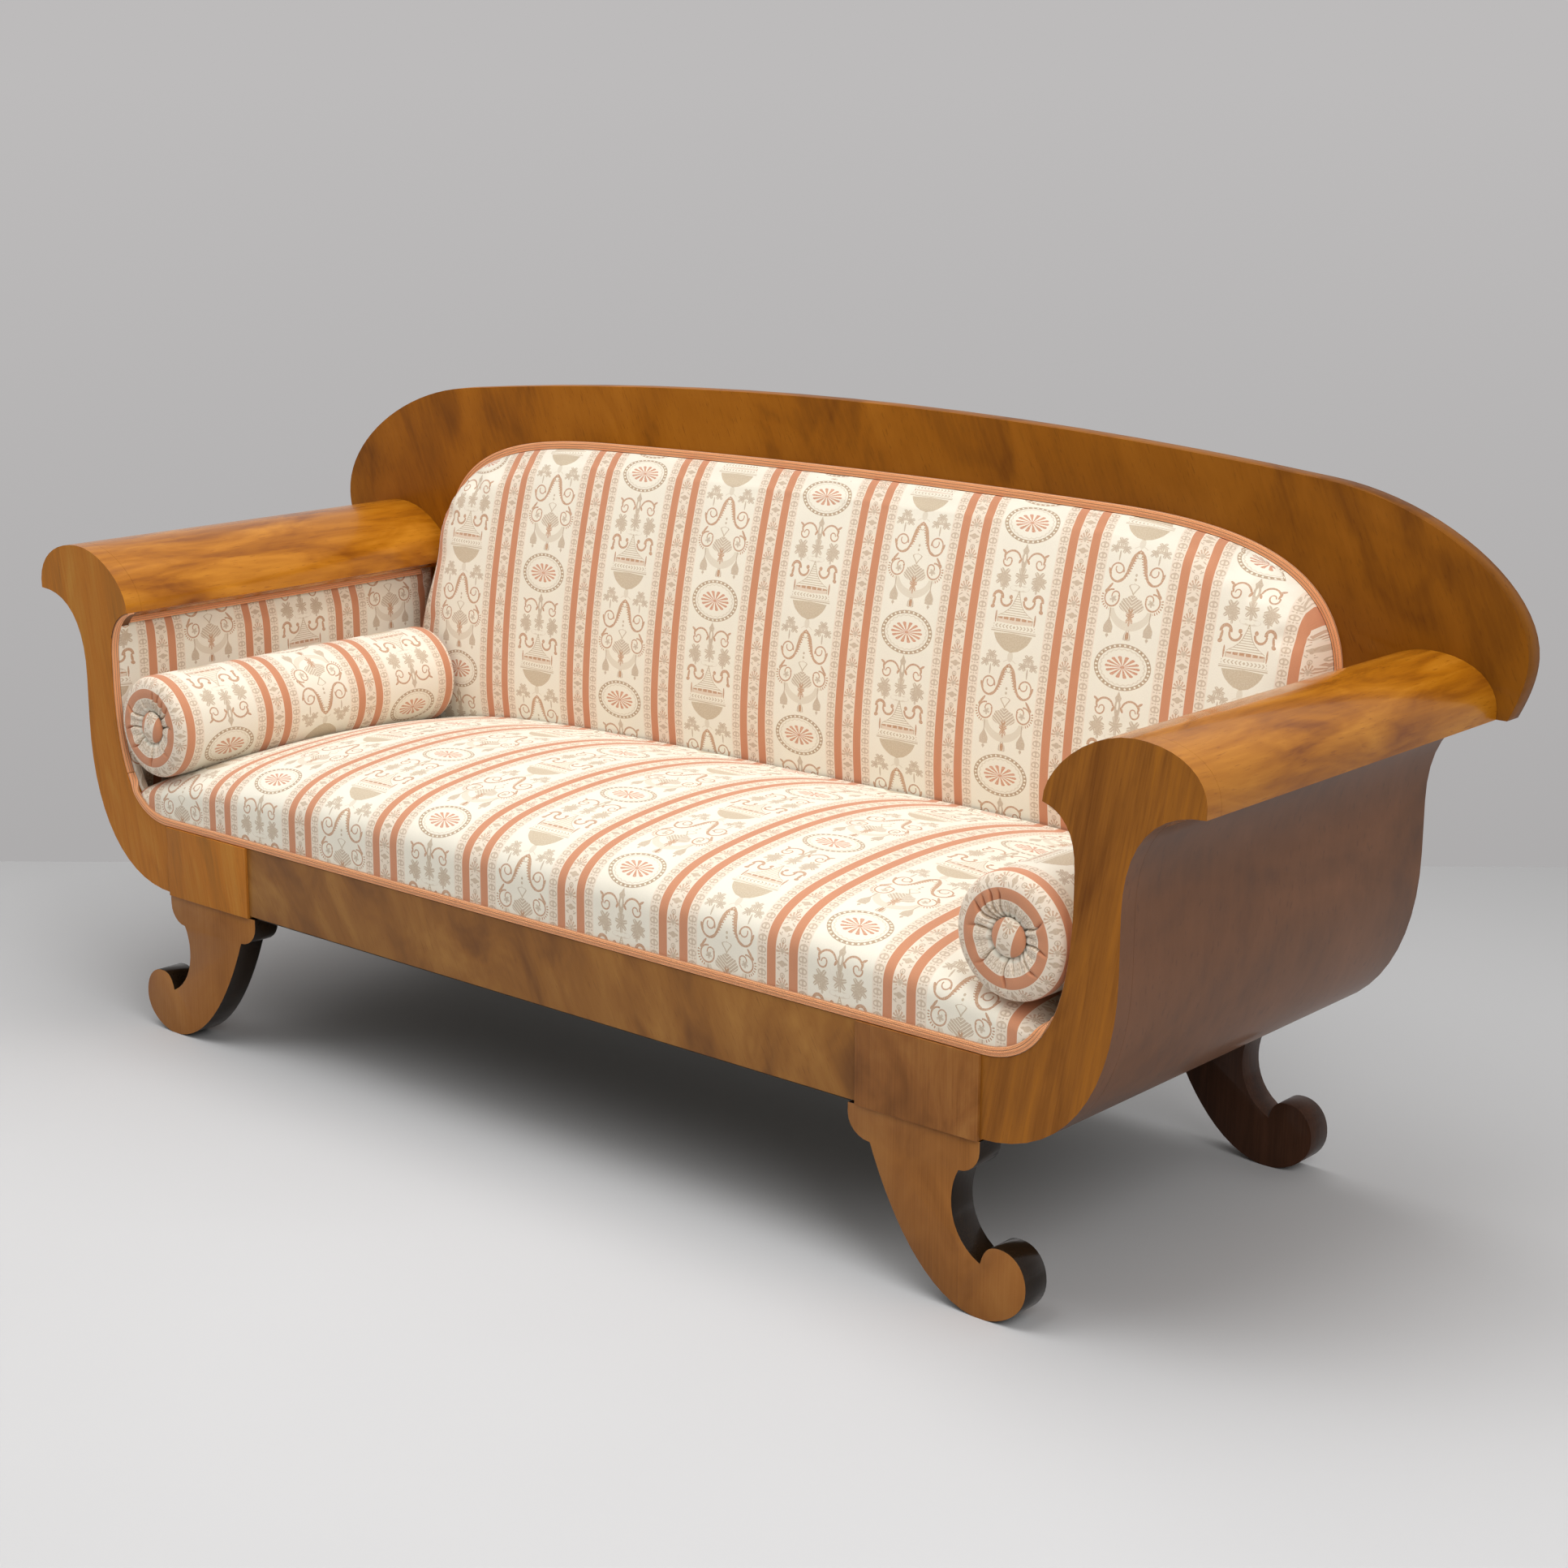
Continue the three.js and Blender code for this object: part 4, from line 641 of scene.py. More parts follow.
class SetteeWoodwork(bpy.types.Operator):
    """Finish the veneered pieces of the frame"""
    bl_idname = "settee.woodwork"
    bl_label = "Veneered frame"

    def execute(self, context):
        wood = context.scene.settee_wood
        face, roll, board, side = (tuple(c) for c in (wood.face, wood.roll, wood.board, wood.side))
        gold = (face[0] * 1.55, face[1] * 1.55, face[2] * 1.7)
        fine, broad, upright_grain = (0.002, 0.004, 0.16), (0.05, 0.06, 0.35), (0.003, 0.004, 0.09)
        faces = veneer("Satin birch veneer, quartered and shellacked", face, "#6E3F12", "#A8691F",
                       upright_grain, (0.035, 0.06, 0.28), slots=0.34, turn=-10, coat=0.06)
        golden = veneer("Satin birch veneer, golden leaf", gold, "#8C5E2A", "#B8823A",
                        upright_grain, (0.05, 0.06, 0.28), turn=10, coat=0.06)
        blocks = veneer("Birch veneer, cut across and shellacked", linear("#8B5726"), "#704319", "#9E6A34",
                        fine, (0.05, 0.06, 0.09))
        rails = veneer("Mottled birch veneer, shellacked", linear("#8D5D2A"), "#6E4521", "#A47338",
                       (0.005, 0.006, 0.06), (0.085, 0.05, 0.16), slots=0.1, turn=28)
        rolls = veneer("Amber birch veneer, laid lengthways", roll, "#743A06", "#C27F22",
                       (0.006, 0.14, 0.006), (0.045, 0.19, 0.04), slots=0.2, gloss=0.15, coat=0.22)
        # The back board carries painted light at its left end and painted shade at its right end.
        boards = veneer("Flame birch veneer, shellacked", board, "#603509", "#995E17",
                        (0.006, 0.02, 0.05), (0.13, 0.06, 0.26), slots=0.18, turn=24, coat=0.05, painted_light_ends=(1.22, 0.82))
        sides = veneer("Plum-toned mahogany veneer, bent", side, "#4E2E17", "#7A4C2A",
                       (0.05, 0.02, 0.05), (0.24, 0.3, 0.2), slots=0.25, gloss=0.34, coat=0.2)
        rear = veneer("Stained beech, polished", linear("#3F2414"), "#28160C", "#523220", fine, broad)
        feet = veneer("Birch foot veneer, cut square and shellacked", linear("#96602A"), "#7E4D1E", "#A36E36",
                      fine, (0.08, 0.06, 0.12))
        black = veneer("Ebonised birch, polished", linear("#22170D"), "#160F08", "#302214", fine, broad,
                       gloss=0.1, coat=0.14)
        for name, piece, material in dress({
                "front_rail": rails, "back_board": boards, "back_rail": rear, "back_upright": rear,
                "leg_block_front_left": golden, "leg_block_front_right": blocks, "leg_block_rear_": rear,
                "leg_front_": feet, "leg_rear_": rear, "arm_front_left": golden, "arm_front_right": faces,
                "arm_roll_": rolls, "arm_side_": sides}):
            eased(piece, not name.startswith("arm_"))
            if name.startswith("arm_front_"):
                faced(piece, sides, material, rolls)
            elif name == "leg_front_":
                faced(piece, black, black, black)
        return {"FINISHED"}


class SetteeInside(bpy.types.Operator):
    """Finish the hidden frame, webbing, hessian and dust covers"""
    bl_idname = "settee.inside"
    bl_label = "Frame and webbing"

    def execute(self, context):
        planed = veneer("Beech, planed and left bare", linear("#C4A06C"), "#A98450", "#D8B987",
                        (0.12, 0.002, 0.002), (0.4, 0.03, 0.03), gloss=0.62)
        planed.node_tree.nodes["Principled BSDF"].inputs["Coat Weight"].default_value = 0.0
        stained = bpy.data.materials["Stained beech, polished"]

        def woven(name, lit_thread_colour, shade, pitch, depth):
            """Plain weave: round threads that pass over and under, with painted light where they stand up and painted
            shade where they dip.
            """
            material, tree, shader = finish(name, {"Roughness": 0.92})
            node = partial(add, tree)
            place = node("TexCoord", out=3)
            parts = node("SeparateXYZ", [node("VectorMath/MULTIPLY", [place, (2 * pi / pitch,) * 3])])
            x, y, z = (node("Math/SINE", [part]) for part in parts.node.outputs)
            crossed = node("Math/MULTIPLY", [node("Math/MAXIMUM", [x, y]), z])
            patch = node("TexNoise", {"Vector": place, "Scale": 40.0, "Detail": 4.0})
            even = node("MapRange", [patch, 0.3, 0.7, 0.42, 0.58])
            amount = node("Math/MULTIPLY_ADD", [crossed, 0.25, even])
            # Painted light on the threads where they stand up, painted shade where they dip under.
            colour = node("ValToRGB", [amount], stops=[(0.3, linear(shade)), (0.7, linear(lit_thread_colour))])
            wear(tree, shader, colour, crossed, depth)
            return material

        jute = woven("Jute webbing, plain weave", "#C2A878", "#8F7448", 4 * mm, 0.6 * mm)
        hessian = woven("Hessian, open plain weave", "#B79C6E", "#7E6844", 3 * mm, 0.4 * mm)
        dust = woven("Black cotton dust cloth, calendered", "#4E463C", "#2E2822", 1.5 * mm, 0.2 * mm)
        dress({
            "cross_rail_": planed, "side_rail_": stained, "arm_sill_": stained, "arm_top_rail_": planed,
            "arm_tack_rail_": planed, "seat_webbing": jute, "back_webbing": jute, "arm_webbing_": jute,
            "seat_hessian": hessian, "bottom_cloth": dust, "back_lining": dust})
        return {"FINISHED"}


# ---------------------------------------------------------------- pads


def seat_height(x, y):
    """Height of the seat over the floor: a rounded front, a low crown, and room for the bolsters."""
    beyond = np.clip((y - seat_front) / seat_nose, 0, 1)
    rounded = 0.5 + 0.5 * (1 - (1 - beyond) ** 3) ** (1 / 3)
    crown_y = seat_front + 0.5 * (seat_back - seat_front)
    reach = np.where(y < crown_y, crown_y, 0.957 * (seat_back - crown_y))
    crown = seat_crown * dome(x / (seat_half * 0.96), 4, 0.8) * dome((y - crown_y) / reach, 2, 1)
    top = rail_top + seat_rise * dome(x / (seat_half * 1.03), 4, 0.5) * rounded + crown
    low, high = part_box("bolster_right")
    under = np.maximum(bolster_radius ** 2 - (np.abs(x) - (low.x + high.x) / 2) ** 2, 0)
    return np.minimum(top, np.where(under > 0, (low.z + high.z) / 2 - np.sqrt(under) - seam, top))


class SetteeSeat(bpy.types.Operator):
    """Make the stuffed seat"""
    bl_idname = "settee.seat"
    bl_label = "Seat"

    def execute(self, context):
        sweep = sweep_run()[0]
        drop = 0.12
        rail_seam = 284 * mm

        def depth_at(share):
            # Rows crowd together on the rounded front
            return seat_front + (seat_back - seat_front) * share ** 1.8

        def place(across, up):
            side = 2 * across - 1
            side = np.sin(side * pi / 2) * 0.35 + side * 0.65
            x = seat_half * side
            y = depth_at(np.clip((up - drop) / (1 - drop), 0, 1))
            z = np.where(up < drop, seat_bottom + (seat_height(x, seat_front) - seat_bottom) * up / drop,
                         seat_height(x, y))
            room = np.interp(z, sweep[:, 1], sweep[:, 0]) - 4 * mm
            held = np.where(y < panel_thickness, np.minimum(room, seat_half), seat_half)
            x = np.clip(x, -held, held)
            # The pattern follows the length of the cover from the rail up and back
            line_y = depth_at(np.linspace(0, 1, 400))
            lengths = np.zeros_like(x)
            for edge in np.unique(np.round(side, 6)):
                here = np.abs(side - edge) < 1e-6
                top = seat_height(seat_half * edge, line_y)
                run = lengths_of(np.stack([line_y, top], axis=1))
                lengths[here] = np.where(up[here] < drop, z[here] - rail_top,
                                         top[0] - rail_top + np.interp(y[here], line_y, run))
            points = np.stack([x, y - middle_y, z], axis=1)
            return points, np.stack([seat_half * side, rail_seam - lengths], axis=1)

        bm = swollen(sheet(220, 110, place), context.scene.settee_cover.swell)
        close_behind(bm, lambda co: Vector((co.x, co.y, seat_bottom)))
        piece = piece_of(bm, "seat_cover", cover(), "frame", "seat_pad")
        return {"FINISHED"}


class SetteeBack(bpy.types.Operator):
    """Make the stuffed back"""
    bl_idname = "settee.back"
    bl_label = "Back"

    def execute(self, context):
        pad_half, hip_z = hip
        inner = sideways(arch_run(), -context.scene.settee_braid.width - seam)
        inner[0][0] = 0
        waist_point = inner[-1]
        hips = bezier(waist_point, (waist_point[0], roll_seat), (812 * mm, 560 * mm), hip, 24)
        half = run_of(inner, hips, np.array([hip, (pad_half, pad_foot)]))
        # The pad's upper corner is its outline's nearest point to this one
        corner = int(np.argmin(np.hypot(half[:, 0] - 0.69, half[:, 1] - 0.78)))
        top_half, side_run = half[:corner + 1], half[corner:][::-1]
        top_run = run_of((top_half * mirror)[::-1], top_half)
        outline = np.concatenate([half, (half * mirror)[::-1]])
        spans = np.roll(outline, -1, axis=0) - outline

        def depth(z):
            lean = np.clip((z - 0.42) / 0.365, 0, 1)
            return pad_thickness - (pad_thickness - pad_top_thickness) * lean ** 1.9

        def crowded(share):
            # Columns and rows crowd together towards the border, where the pad curves most
            return share * 0.55 + 0.45 * (0.5 - 0.5 * np.cos(pi * share))

        def place(across, up):
            i, j = crowded(across), crowded(up)
            bottom = np.stack([pad_half * (2 * i - 1), np.full_like(i, pad_foot)], axis=1)
            right = along(side_run, j)
            corners = sum(share[:, None] * np.array(point) for share, point in (
                ((1 - i) * (1 - j), (-pad_half, pad_foot)), (i * (1 - j), (pad_half, pad_foot)),
                ((1 - i) * j, top_run[0]), (i * j, top_run[-1])))
            flat = ((1 - j)[:, None] * bottom + j[:, None] * along(top_run, i)
                    + (1 - i)[:, None] * (right * mirror) + i[:, None] * right - corners)
            reach = np.full(len(flat), 9.0)
            normal = np.zeros_like(flat)
            for p, s in zip(outline, spans):
                t = np.clip(((flat - p) @ s) / max(s @ s, 1e-12), 0, 1)
                gap = p + t[:, None] * s - flat
                distance = np.hypot(gap[:, 0], gap[:, 1])
                closer = distance < reach
                reach[closer] = distance[closer]
                normal[closer] = gap[closer] / np.maximum(distance[closer], 1e-6)[:, None]
            share = np.clip(1 - reach / pad_round, 0, 1)
            height = 0.2 + 0.8 * (1 - share ** 2.5) ** 0.4
            y = pad_rear - height * depth(flat[:, 1])
            fine = np.linspace(0.3, 0.84, 400)
            run = lengths_of(np.stack([fine, depth(fine)], axis=1))
            v = np.interp(0.795, fine, run) - np.interp(flat[:, 1], fine, run)
            extra = (np.arcsin(share) - share) * pad_round
            steep = np.clip(normal[:, 0] ** 2 * 4 - 3, 0, 1)
            pattern = np.stack([flat[:, 0] + steep * normal[:, 0] * extra, v - normal[:, 1] * extra], axis=1)
            return np.stack([flat[:, 0], y - middle_y, flat[:, 1]], axis=1), pattern

        bm = swollen(sheet(230, 90, place), context.scene.settee_cover.swell)
        close_behind(bm, lambda co: Vector((co.x, pad_rear - middle_y, co.z)))
        piece = piece_of(bm, "back_cover", cover(), "frame", "back_pad")
        return {"FINISHED"}


class SetteeArms(bpy.types.Operator):
    """Make the stuffed inner faces of the arms"""
    bl_idname = "settee.arms"
    bl_label = "Arm pads"

    def execute(self, context):
        low, high = pad_foot, roll_seat - 2 * mm
        stem = run_of(*sweep_run())
        behind_panel = panel_thickness + seam
        turned_in = context.scene.settee_braid.width + 2.4 * mm

        def stem_edge(z):
            return np.interp(z, stem[:, 1], stem[:, 0])

        for name, side in (("left", -1), ("right", 1)):
            def place(across, up):
                i = 0.5 - 0.5 * np.cos(pi * across)
                j = 0.5 - 0.5 * np.cos(pi * up)
                z = low + j * (high - low)
                # Above the seat the cover turns over the inner edge of the arm front, up to the braid
                near = np.interp(z, [0.326, 0.338], [behind_panel, turned_in])
                y = near + i * (pad_rear - near)
                z = low + (z - low) * np.interp(y, [panel_thickness, panel_thickness + 14 * mm], [0.955, 1])
                full = dome(2 * i - 1, 8, 0.5) * dome(2 * j - 1, 6, 0.5)
                x = arm_back - 7 * mm - arm_crown * full
                over = stem_edge(z) - 2.6 * mm * np.clip((y - turned_in) / (3 * mm), 0.4, 1)
                x = side * np.where(y < behind_panel, np.minimum(x, over), x)
                return np.stack([x, y - middle_y, z], axis=1), np.stack([y - 341 * mm, 0.6485 - z], axis=1)

            def behind(co):
                over_panel = co.y + middle_y < panel_thickness + seam / 2
                return Vector((side * (stem_edge(co.z) - seam if over_panel else arm_back), co.y, co.z))

            bm = swollen(sheet(100, 48, place), 0.6 * context.scene.settee_cover.swell)
            close_behind(bm, behind)
            piece = piece_of(bm, f"arm_cover_{name}", cover(), "frame", f"arm_pad_{name}")
        return {"FINISHED"}


# ---------------------------------------------------------------- bolsters


class SetteeBolsters(bpy.types.Operator):
    """Make the bolsters with their gathered ends and covered buttons"""
    bl_idname = "settee.bolsters"
    bl_label = "Bolsters"

    def execute(self, context):
        edge = bolster_radius - bolster_edge[0]
        face = [(0, 11 * mm), (12 * mm, 10.5 * mm), (button_radius, 8 * mm), (27 * mm, 4.6 * mm), (32 * mm, 2.2 * mm),
                (40 * mm, 0.5 * mm)]
        end = np.array(face + [(edge + bolster_edge[0] * sin(t), bolster_edge[1] * (1 - cos(t)))
                               for t in np.linspace(0, pi / 2, 12)])
        # Pleats of the gathered ends: angle in degrees, outer end and depth in mm
        pleats = [(8, 52, 2.4), (22, 40, 1.6), (36, 58, 3.2), (49, 56, 3.4), (62, 60, 3.4), (75, 57, 3.0),
                  (90, 44, 1.8), (108, 46, 1.6), (127, 42, 1.4), (152, 58, 2.6), (170, 44, 1.6), (187, 58, 2.6),
                  (204, 44, 1.8), (221, 56, 3.0), (238, 43, 1.6), (256, 45, 1.6), (272, 60, 2.8), (292, 43, 1.5),
                  (318, 55, 2.6), (342, 42, 1.6)]
        for name, side in (("left", -1), ("right", 1)):
            low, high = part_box(f"bolster_{name}")
            centre, length = (low + high) / 2, high.y - low.y
            ends = np.concatenate([end, np.array([(bolster_radius, length / 2)]), end[::-1] * (1, -1) + (0, length)])
            run = lengths_of(ends)
            shoulder_run = run[len(end) - 1]

            def place(across, up):
                # Rows crowd together on the gathered ends
                path = np.interp(up, [0, 0.36, 0.64, 1], [0, shoulder_run, run[-1] - shoulder_run, run[-1]])
                radius, depth = (np.interp(path, run, ends[:, i]) for i in (0, 1))
                angle = 2 * pi * across - pi / 2
                rear = path > run[-1] / 2
                push = np.zeros_like(path)
                for turn, outer, deep in pleats:
                    bend = radians(turn) + 0.05 * np.sin(radius / (6 * mm) + turn)
                    off = (angle - bend + pi) % (2 * pi) - pi
                    wide = (0.8 + 0.010 * outer) * mm
                    fade = (np.clip((outer * mm - radius) / (14 * mm), 0, 1)
                            * np.clip((radius - 15 * mm) / (7 * mm), 0, 1))
                    strong = 2.6 if outer > 50 else 1.9
                    push += strong * deep * mm * fade * np.exp(-np.abs(off * radius / wide) ** 1.3)
                puff = (0.9 * mm * np.sin(angle * 9 + 2 * np.sin(2 * angle))
                        * np.clip((56 * mm - radius) / (20 * mm), 0, 1))
                push = push + np.where(radius > button_radius, puff, 0)
                y = low.y + depth + np.where(rear, -push, push)
                round_x, round_z = centre.x - side * radius * np.cos(angle), centre.z + radius * np.sin(angle)
                u = low.y + middle_y + bolster_edge[1] + path - shoulder_run - 86 * mm
                return (np.stack([round_x, y, round_z], axis=1),
                        np.stack([u, angle * bolster_radius + 34 * mm], axis=1))

            bm = swollen(sheet(320, 120, place), 0.4 * context.scene.settee_cover.swell)
            bmesh.ops.remove_doubles(bm, verts=bm.verts, dist=1e-5)
            bmesh.ops.recalc_face_normals(bm, faces=bm.faces)
            piece = piece_of(bm, f"bolster_cover_{name}", cover(), f"{name}_bolster", f"bolster_{name}")
            for end_name, way in (("front", -1), ("rear", 1)):
                node = f"bolster_button_{name}_{end_name}"
                near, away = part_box(node)
                middle = (near + away) / 2
                bm = bmesh.new()
                bmesh.ops.create_uvsphere(bm, u_segments=40, v_segments=20, radius=button_radius)
                bmesh.ops.bisect_plane(bm, geom=bm.verts[:] + bm.edges[:] + bm.faces[:], plane_co=(0, 0, 0),
                                       plane_no=(0, 0, -1), clear_outer=True)
                bmesh.ops.holes_fill(bm, edges=[e for e in bm.edges if e.is_boundary], sides=0)
                bmesh.ops.scale(bm, vec=(1, 1, (away.y - near.y) / button_radius), verts=bm.verts)
                layer = bm.loops.layers.uv.new("pattern")
                tilt = Matrix.Rotation(radians(15), 2)
                for face_part in bm.faces:
                    for loop in face_part.loops:
                        flat = tilt @ Vector(loop.vert.co[:2])
                        loop[layer].uv = (flat.x + 86.75 * mm, flat.y)
                bmesh.ops.rotate(bm, cent=(0, 0, 0), matrix=Matrix.Rotation(-way * pi / 2, 3, "X"), verts=bm.verts)
                bmesh.ops.translate(bm, vec=(middle.x, near.y if way > 0 else away.y, middle.z), verts=bm.verts)
                bmesh.ops.recalc_face_normals(bm, faces=bm.faces)
                button = piece_of(bm, f"button_{name}_{end_name}", cover(), f"{name}_bolster", node)
        return {"FINISHED"}


# ---------------------------------------------------------------- braid


def braid_material():
    """Cotton gimp, plaited: matt coral cords that cross a ribbed ground. The ribs carry painted light on their tops
    and painted shade in their hollows, and the grooves between the cords carry dark painted shade.
    """
    colour = bpy.context.scene.settee_braid.colour
    material, tree, shader = finish("Cotton gimp, plaited", {"Roughness": 0.85, "Sheen Weight": 0.3})
    node = partial(add, tree)
    u = node("SeparateXYZ", [node("VectorMath/MULTIPLY", [node("UVMap", uv_map="pattern"), (1000, 1000, 0)])])
    v = u.node.outputs[1]
    slant = node("Math/MULTIPLY_ADD", [v, 1.6, u])
    ribs = node("Math/SINE", [node("Math/MULTIPLY", [slant, 2 * pi / 2.6])])
    raised = node("Math/MULTIPLY_ADD", [ribs, 0.5, 0.5])
    # Painted shade: dark lines in the grooves between the cords.
    painted_groove_shade = node("Math/COMPARE", [node("Math/FLOORED_MODULO", [v, 3.83]), 1.92, 0.5])
    # Painted light and shade: the ribs are lighter on their raised tops and darker in their hollows.
    rib_painted_light_and_shade = node("ValToRGB", [raised], stops=[(0.1, tuple(c * 0.86 for c in colour)), (0.7, tuple(colour))])
    toned = node("Mix", {0: node("Math/MULTIPLY", [painted_groove_shade, 0.85]), 6: rib_painted_light_and_shade, 7: (*(c * 0.45 for c in colour), 1)},
                 out=2, data_type="RGBA")
    wear(tree, shader, toned, raised, 0.0005)
    return material


class SetteeBraids(bpy.types.Operator):
    """Lay the braid along the rail, up the stems, under the rolls and round the back"""
    bl_idname = "settee.braids"
    bl_label = "Braid"

    def execute(self, context):
        width = context.scene.settee_braid.width
        material = braid_material()
        sweep, cove = sweep_run()

        def lay(name, node, path, side_of, out, thick=braid_thickness):
            """Braid whose middle follows path; side_of gives the direction of its width, out the way it faces."""
            steps = np.r_[0, np.cumsum(np.linalg.norm(np.diff(path, axis=0), axis=1))]

            def place(across, up):
                where = across * steps[-1]
                spot, broad, face = (np.stack([np.interp(where, steps, rows[:, i]) for i in range(3)], axis=1)
                                     for rows in (path, side_of, out))
                t = 2 * up - 1
                height = thick * (0.3 + 0.7 * dome(t, 6, 0.5) - 0.2 * (1 - np.abs(np.cos(t * 2.5 * pi))) ** 2)
                return (spot + broad * (t * width / 2)[:, None] + face * height[:, None],
                        np.stack([where, t * width / 2], axis=1))

            def flat(co):
                nearest = int(np.argmin(np.linalg.norm(path - np.array(co), axis=1)))
                normal = Vector(out[nearest])
                return co - normal * (co - Vector(path[nearest])).dot(normal)

            bm = sheet(max(int(steps[-1] / 0.004), 8), 30, place)
            close_behind(bm, flat)
            piece_of(bm, name, material, "frame", node, angle=75)

        # The rail's braid twists at both ends so that it runs on into the stem's braid
        corner = rail_top + 0.33 * (inner_sweep_top - rail_top)
        right = sweep[sweep[:, 1] < corner]
        rail = along(run_of((right * mirror)[::-1], right), np.linspace(0, 1, 500))
        lengths = lengths_of(rail)
        twist = np.clip(1 - np.minimum(lengths, lengths[-1] - lengths) / (34 * mm), 0, 1)
        twist = (twist * twist * (3 - 2 * twist) * pi / 2)[:, None]
        beside = upright(sideways(rail, 1) - rail, 0)
        rearwards = np.array([0.0, 1.0, 0.0])
        spot = upright(rail, braid_recess - middle_y)
        spot = spot + beside * (seam + np.cos(twist) * width / 2) + rearwards * np.sin(twist) * (width / 2)
        lay("rail_braid", "front_gimp", spot, beside * np.cos(twist) + rearwards * np.sin(twist),
            beside * np.sin(twist) - rearwards * np.cos(twist))

        arch = arch_run()
        arch = run_of((arch * mirror)[::-1], arch)
        arch = along(arch, np.linspace(0, 1, max(len(arch) * 4, 60)))
        lay("arch_braid", "back_gimp", upright(sideways(arch, -width / 2), arch_braid_y - middle_y),
            upright(sideways(arch, 1) - arch, 0), np.tile((0.0, -1.0, 0.0), (len(arch), 1)))

        for name, side in (("left", -1), ("right", 1)):
            stem = run_of(sweep, cove)
            stem = along(stem[stem[:, 1] > corner + seam], np.linspace(0, 1, 90))
            turned = (side, 1)
            lay(f"stem_braid_{name}", f"arm_gimp_{name}",
                upright(sideways(stem, seam) * turned, braid_recess + width / 2 - middle_y),
                np.tile((0.0, float(side), 0.0), (len(stem), 1)),
                upright((sideways(stem, 1) - stem) * turned, 0), thick=braid_recess)
            y = np.linspace(panel_thickness + seam, pad_rear - pad_round - seam, 60)
            spot = np.stack([np.full(60, side * (arm_face - seam)), y - middle_y,
                             np.full(60, roll_seat - seam - width / 2)], axis=1)
            lay(f"roll_braid_{name}", f"roll_gimp_{name}", spot, np.tile((0.0, 0.0, 0.8 * side), (60, 1)),
                np.tile((-float(side), 0.0, 0.0), (60, 1)))
        return {"FINISHED"}


# ---------------------------------------------------------------- stage

wall_distance = 1.15
floor_size = 15.0
camera_place = (2.4563, -2.6443, 1.34125)
camera_yaw, camera_pitch, camera_roll = 41.0, 14.1, 0.2
camera_lens, camera_sensor = 64.04, 36
lamp_target = (0, 0, 0.4)
lamps = {  # place, size and share of the lamp power
    "Main softbox": ((-1.9, -2.2, 3.3), 2.4, 0.34),
    "Side softbox": ((3.4, -1.6, 2.7), 2.0, 0.68),
    "Top softbox": ((-0.1, -0.35, 3.6), 3.2, 1.05),
}


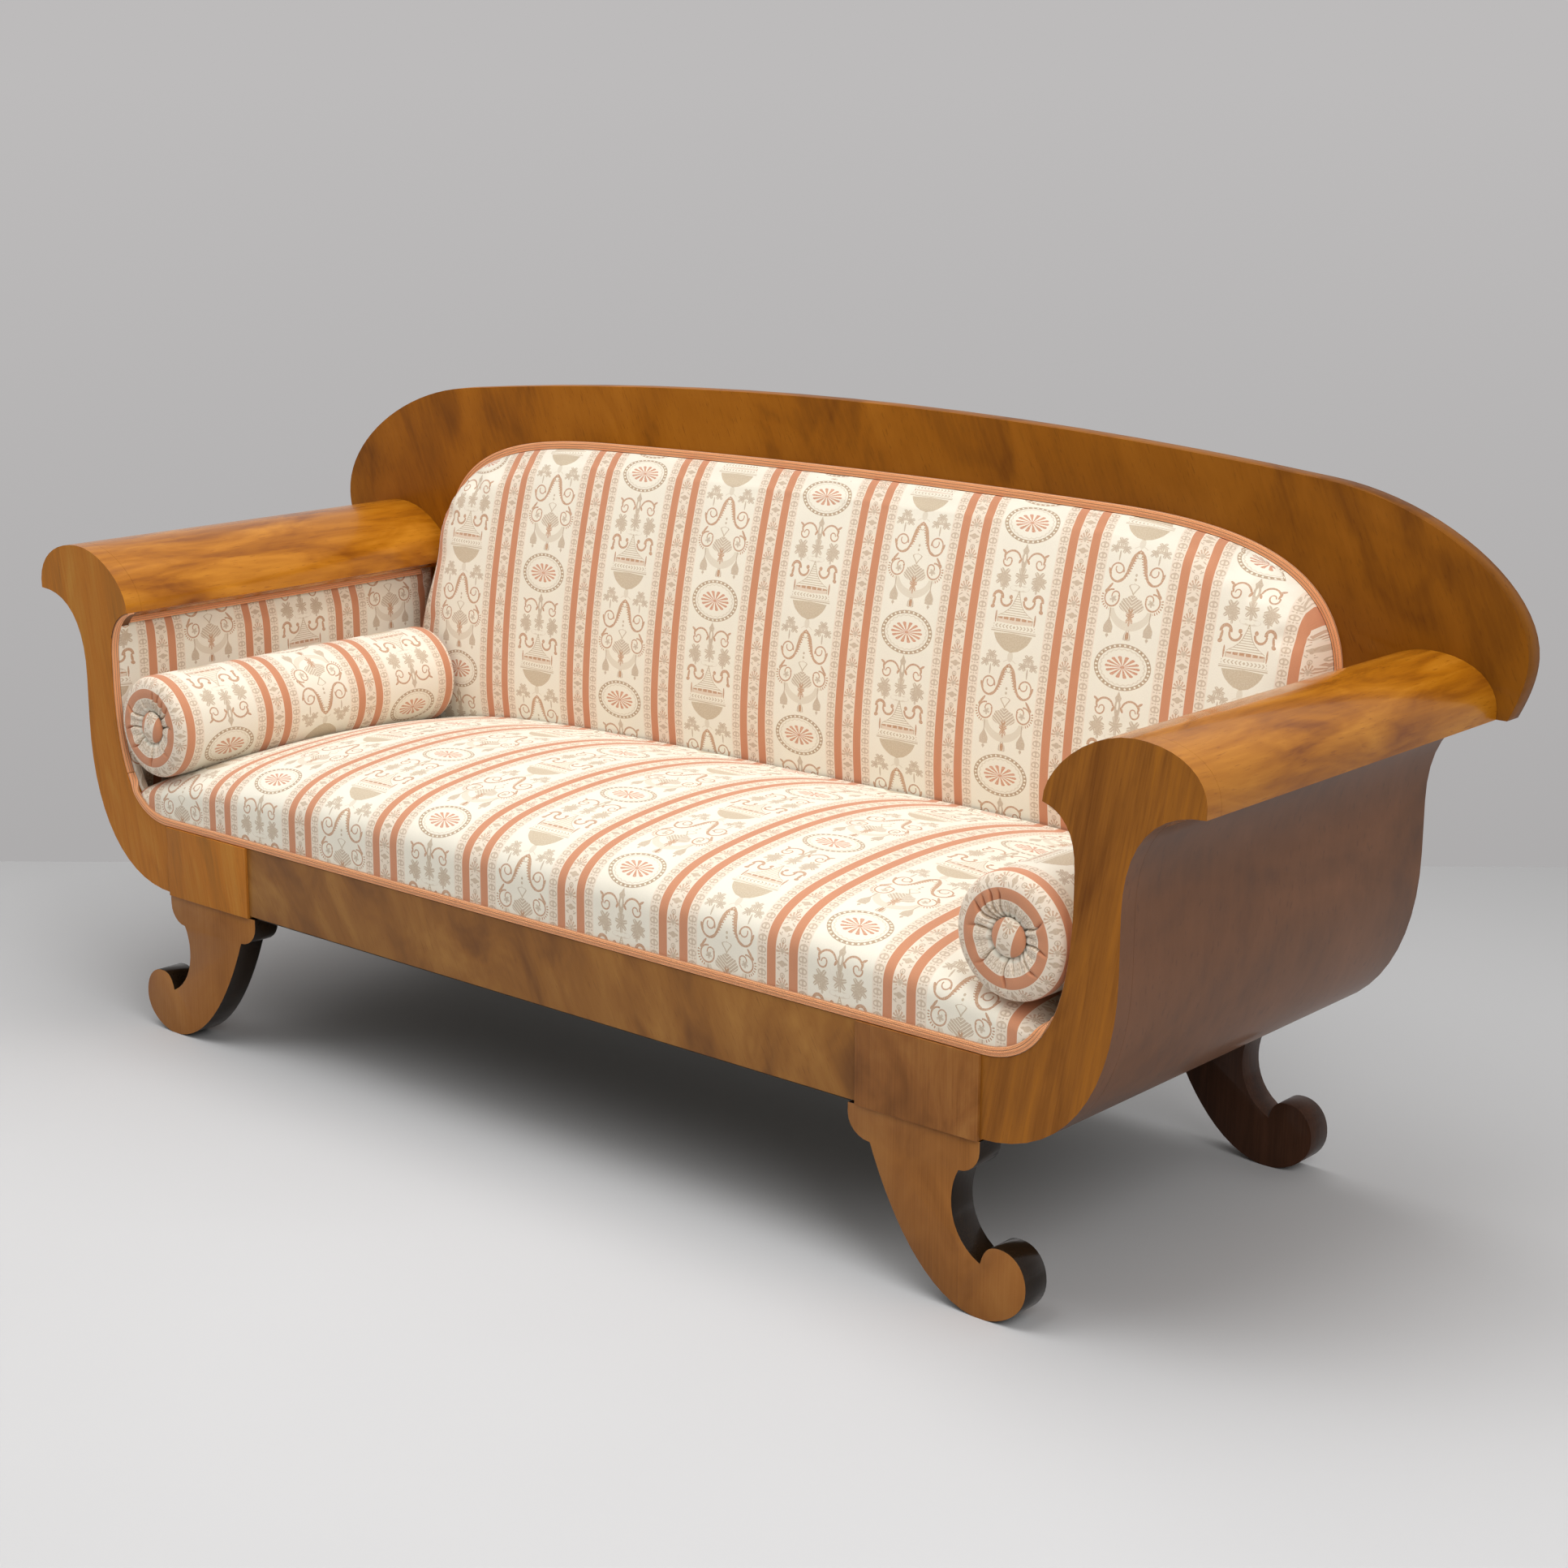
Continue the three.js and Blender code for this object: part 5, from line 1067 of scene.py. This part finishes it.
class SetteeStudio(bpy.types.Operator):
    """Set up the floor, backdrop, soft lamps and camera"""
    bl_idname = "settee.studio"
    bl_label = "Studio"

    def execute(self, context):
        stage = context.scene.settee_stage
        scene = context.scene
        scene.view_settings.view_transform = "Standard"
        turn = Matrix.Rotation(radians(camera_yaw), 3, "Z")
        wall = tuple(stage.wall)

        def shown(tree):
            """1 for what the camera, a gloss or glass sees, and 0 for the light that falls on things."""
            path = add(tree, "LightPath").node.outputs
            seen = add(tree, "Math/MAXIMUM", [path["Is Camera Ray"], path["Is Glossy Ray"]])
            return add(tree, "Math/MAXIMUM", [seen, path["Is Transmission Ray"]])

        # The floor ends where the wall of the photograph starts, and far from the settee it fades into the room
        bm = bmesh.new()
        bmesh.ops.create_grid(bm, x_segments=2, y_segments=2, size=floor_size)
        bmesh.ops.translate(bm, vec=(0, wall_distance - floor_size, 0), verts=bm.verts)
        bmesh.ops.rotate(bm, cent=(0, 0, 0), matrix=turn, verts=bm.verts)
        mesh = bpy.data.meshes.new("Floor")
        bm.to_mesh(mesh)
        bm.free()
        material, tree, shader = finish("Cast floor, matt painted", {"Roughness": 0.9, "Specular IOR Level": 0.2})
        node = partial(add, tree)
        spot = node("TexCoord", out=3)
        soft = node("TexNoise", {"Vector": spot, "Scale": 1.2, "Detail": 2.0})
        shade = node("ValToRGB", [soft], stops=[(0.3, tuple(c * 0.97 for c in stage.floor)),
                                                (0.7, tuple(stage.floor))])
        depth = node("VectorMath/DOT_PRODUCT", [spot, tuple(turn.col[1])], out=1)
        # Painted shade: the floor's colour darkens towards the wall, standing in for the light falling off there.
        painted_wall_shade = node("MapRange", [depth, -0.5, wall_distance, 1.0, 0.78])
        floor_with_painted_shade = node("VectorMath/SCALE", {0: shade, 3: painted_wall_shade})
        tree.links.new(floor_with_painted_shade, shader.inputs["Base Color"])
        away = node("VectorMath/LENGTH", [spot], out=1)
        far = node("MapRange", [away, 2.6, 5.0, 0.0, 1.0], interpolation_type="SMOOTHSTEP")
        glow = node("Emission", [(*wall, 1), 1.0])
        fade = node("Math/MULTIPLY", [far, shown(tree)])
        tree.links.new(node("MixShader", [fade, shader.outputs[0], glow]),
                       tree.nodes["Material Output"].inputs["Surface"])
        mesh.materials.append(material)
        piece = bpy.data.objects.new("Floor", mesh)
        scene.collection.objects.link(piece)

        # The room is pale to the eye and lights the settee from above
        world = bpy.data.worlds.new("Soft grey room")
        world.use_nodes = True
        tree = world.node_tree
        node = partial(add, tree)
        up = node("SeparateXYZ", [node("TexCoord")]).node.outputs[2]
        height = node("Math/MULTIPLY_ADD", [up, 0.5, 0.5])
        light = node("ValToRGB", [height], stops=[(0.3, (0.060, 0.056, 0.049)), (0.55, (0.130, 0.120, 0.102)),
                                                  (0.9, (0.54, 0.53, 0.52))])
        # Painted shade: seen by the camera, the room darkens towards its foot beyond the floor.
        room = node("ValToRGB", [height], stops=[(0.37, tuple(c * 0.83 for c in wall)), (0.5, wall)])
        colour = node("Mix", {0: shown(tree), 6: light, 7: room}, out=2, data_type="RGBA")
        tree.links.new(colour, tree.nodes["Background"].inputs["Color"])
        scene.world = world
        for name, (place, size, share) in lamps.items():
            data = bpy.data.lights.new(name, "AREA")
            data.shape, data.size, data.energy = "SQUARE", size, stage.lamp * share
            lamp = bpy.data.objects.new(name, data)
            aim = (Vector(lamp_target) - Vector(place)).to_track_quat("-Z", "Y")
            lamp.matrix_world = Matrix.Translation(place) @ aim.to_matrix().to_4x4()
            scene.collection.objects.link(lamp)

        data = bpy.data.cameras.new("Camera")
        data.lens, data.sensor_width = camera_lens, camera_sensor
        camera = bpy.data.objects.new("Camera", data)
        camera.matrix_world = (Matrix.Translation(camera_place) @ Matrix.Rotation(radians(camera_yaw), 4, "Z")
                               @ Matrix.Rotation(radians(90 - camera_pitch), 4, "X")
                               @ Matrix.Rotation(radians(camera_roll), 4, "Z"))
        scene.collection.objects.link(camera)
        scene.camera = camera
        return {"FINISHED"}


class SetteePanel(bpy.types.Panel):
    """Lists the sizes, colours and steps of the settee"""
    bl_idname = "SETTEE_PT_steps"
    bl_label = "Settee"
    bl_space_type = "VIEW_3D"
    bl_region_type = "UI"
    bl_category = "Settee"

    def draw(self, context):
        for group in groups:
            values = getattr(context.scene, group)
            box = self.layout.box()
            for name in values.__annotations__:
                box.prop(values, name)
        for step in steps:
            self.layout.operator(step.bl_idname)


groups = {"settee_cover": SetteeCover, "settee_wood": SetteeWood, "settee_braid": SetteeBraid,
          "settee_stage": SetteeStage}
steps = (SetteeWoodwork, SetteeInside, SetteeSeat, SetteeBack, SetteeArms, SetteeBolsters, SetteeBraids, SetteeStudio)


def register():
    for item in (*groups.values(), *steps, SetteePanel):
        bpy.utils.register_class(item)
    for name, group in groups.items():
        setattr(bpy.types.Scene, name, PointerProperty(type=group))


def unregister():
    for name in groups:
        delattr(bpy.types.Scene, name)
    for item in reversed((*groups.values(), *steps, SetteePanel)):
        bpy.utils.unregister_class(item)


def main():
    register()
    for step in steps:
        area, name = step.bl_idname.split(".")
        getattr(getattr(bpy.ops, area), name)()


if __name__ == "__main__":
    main()
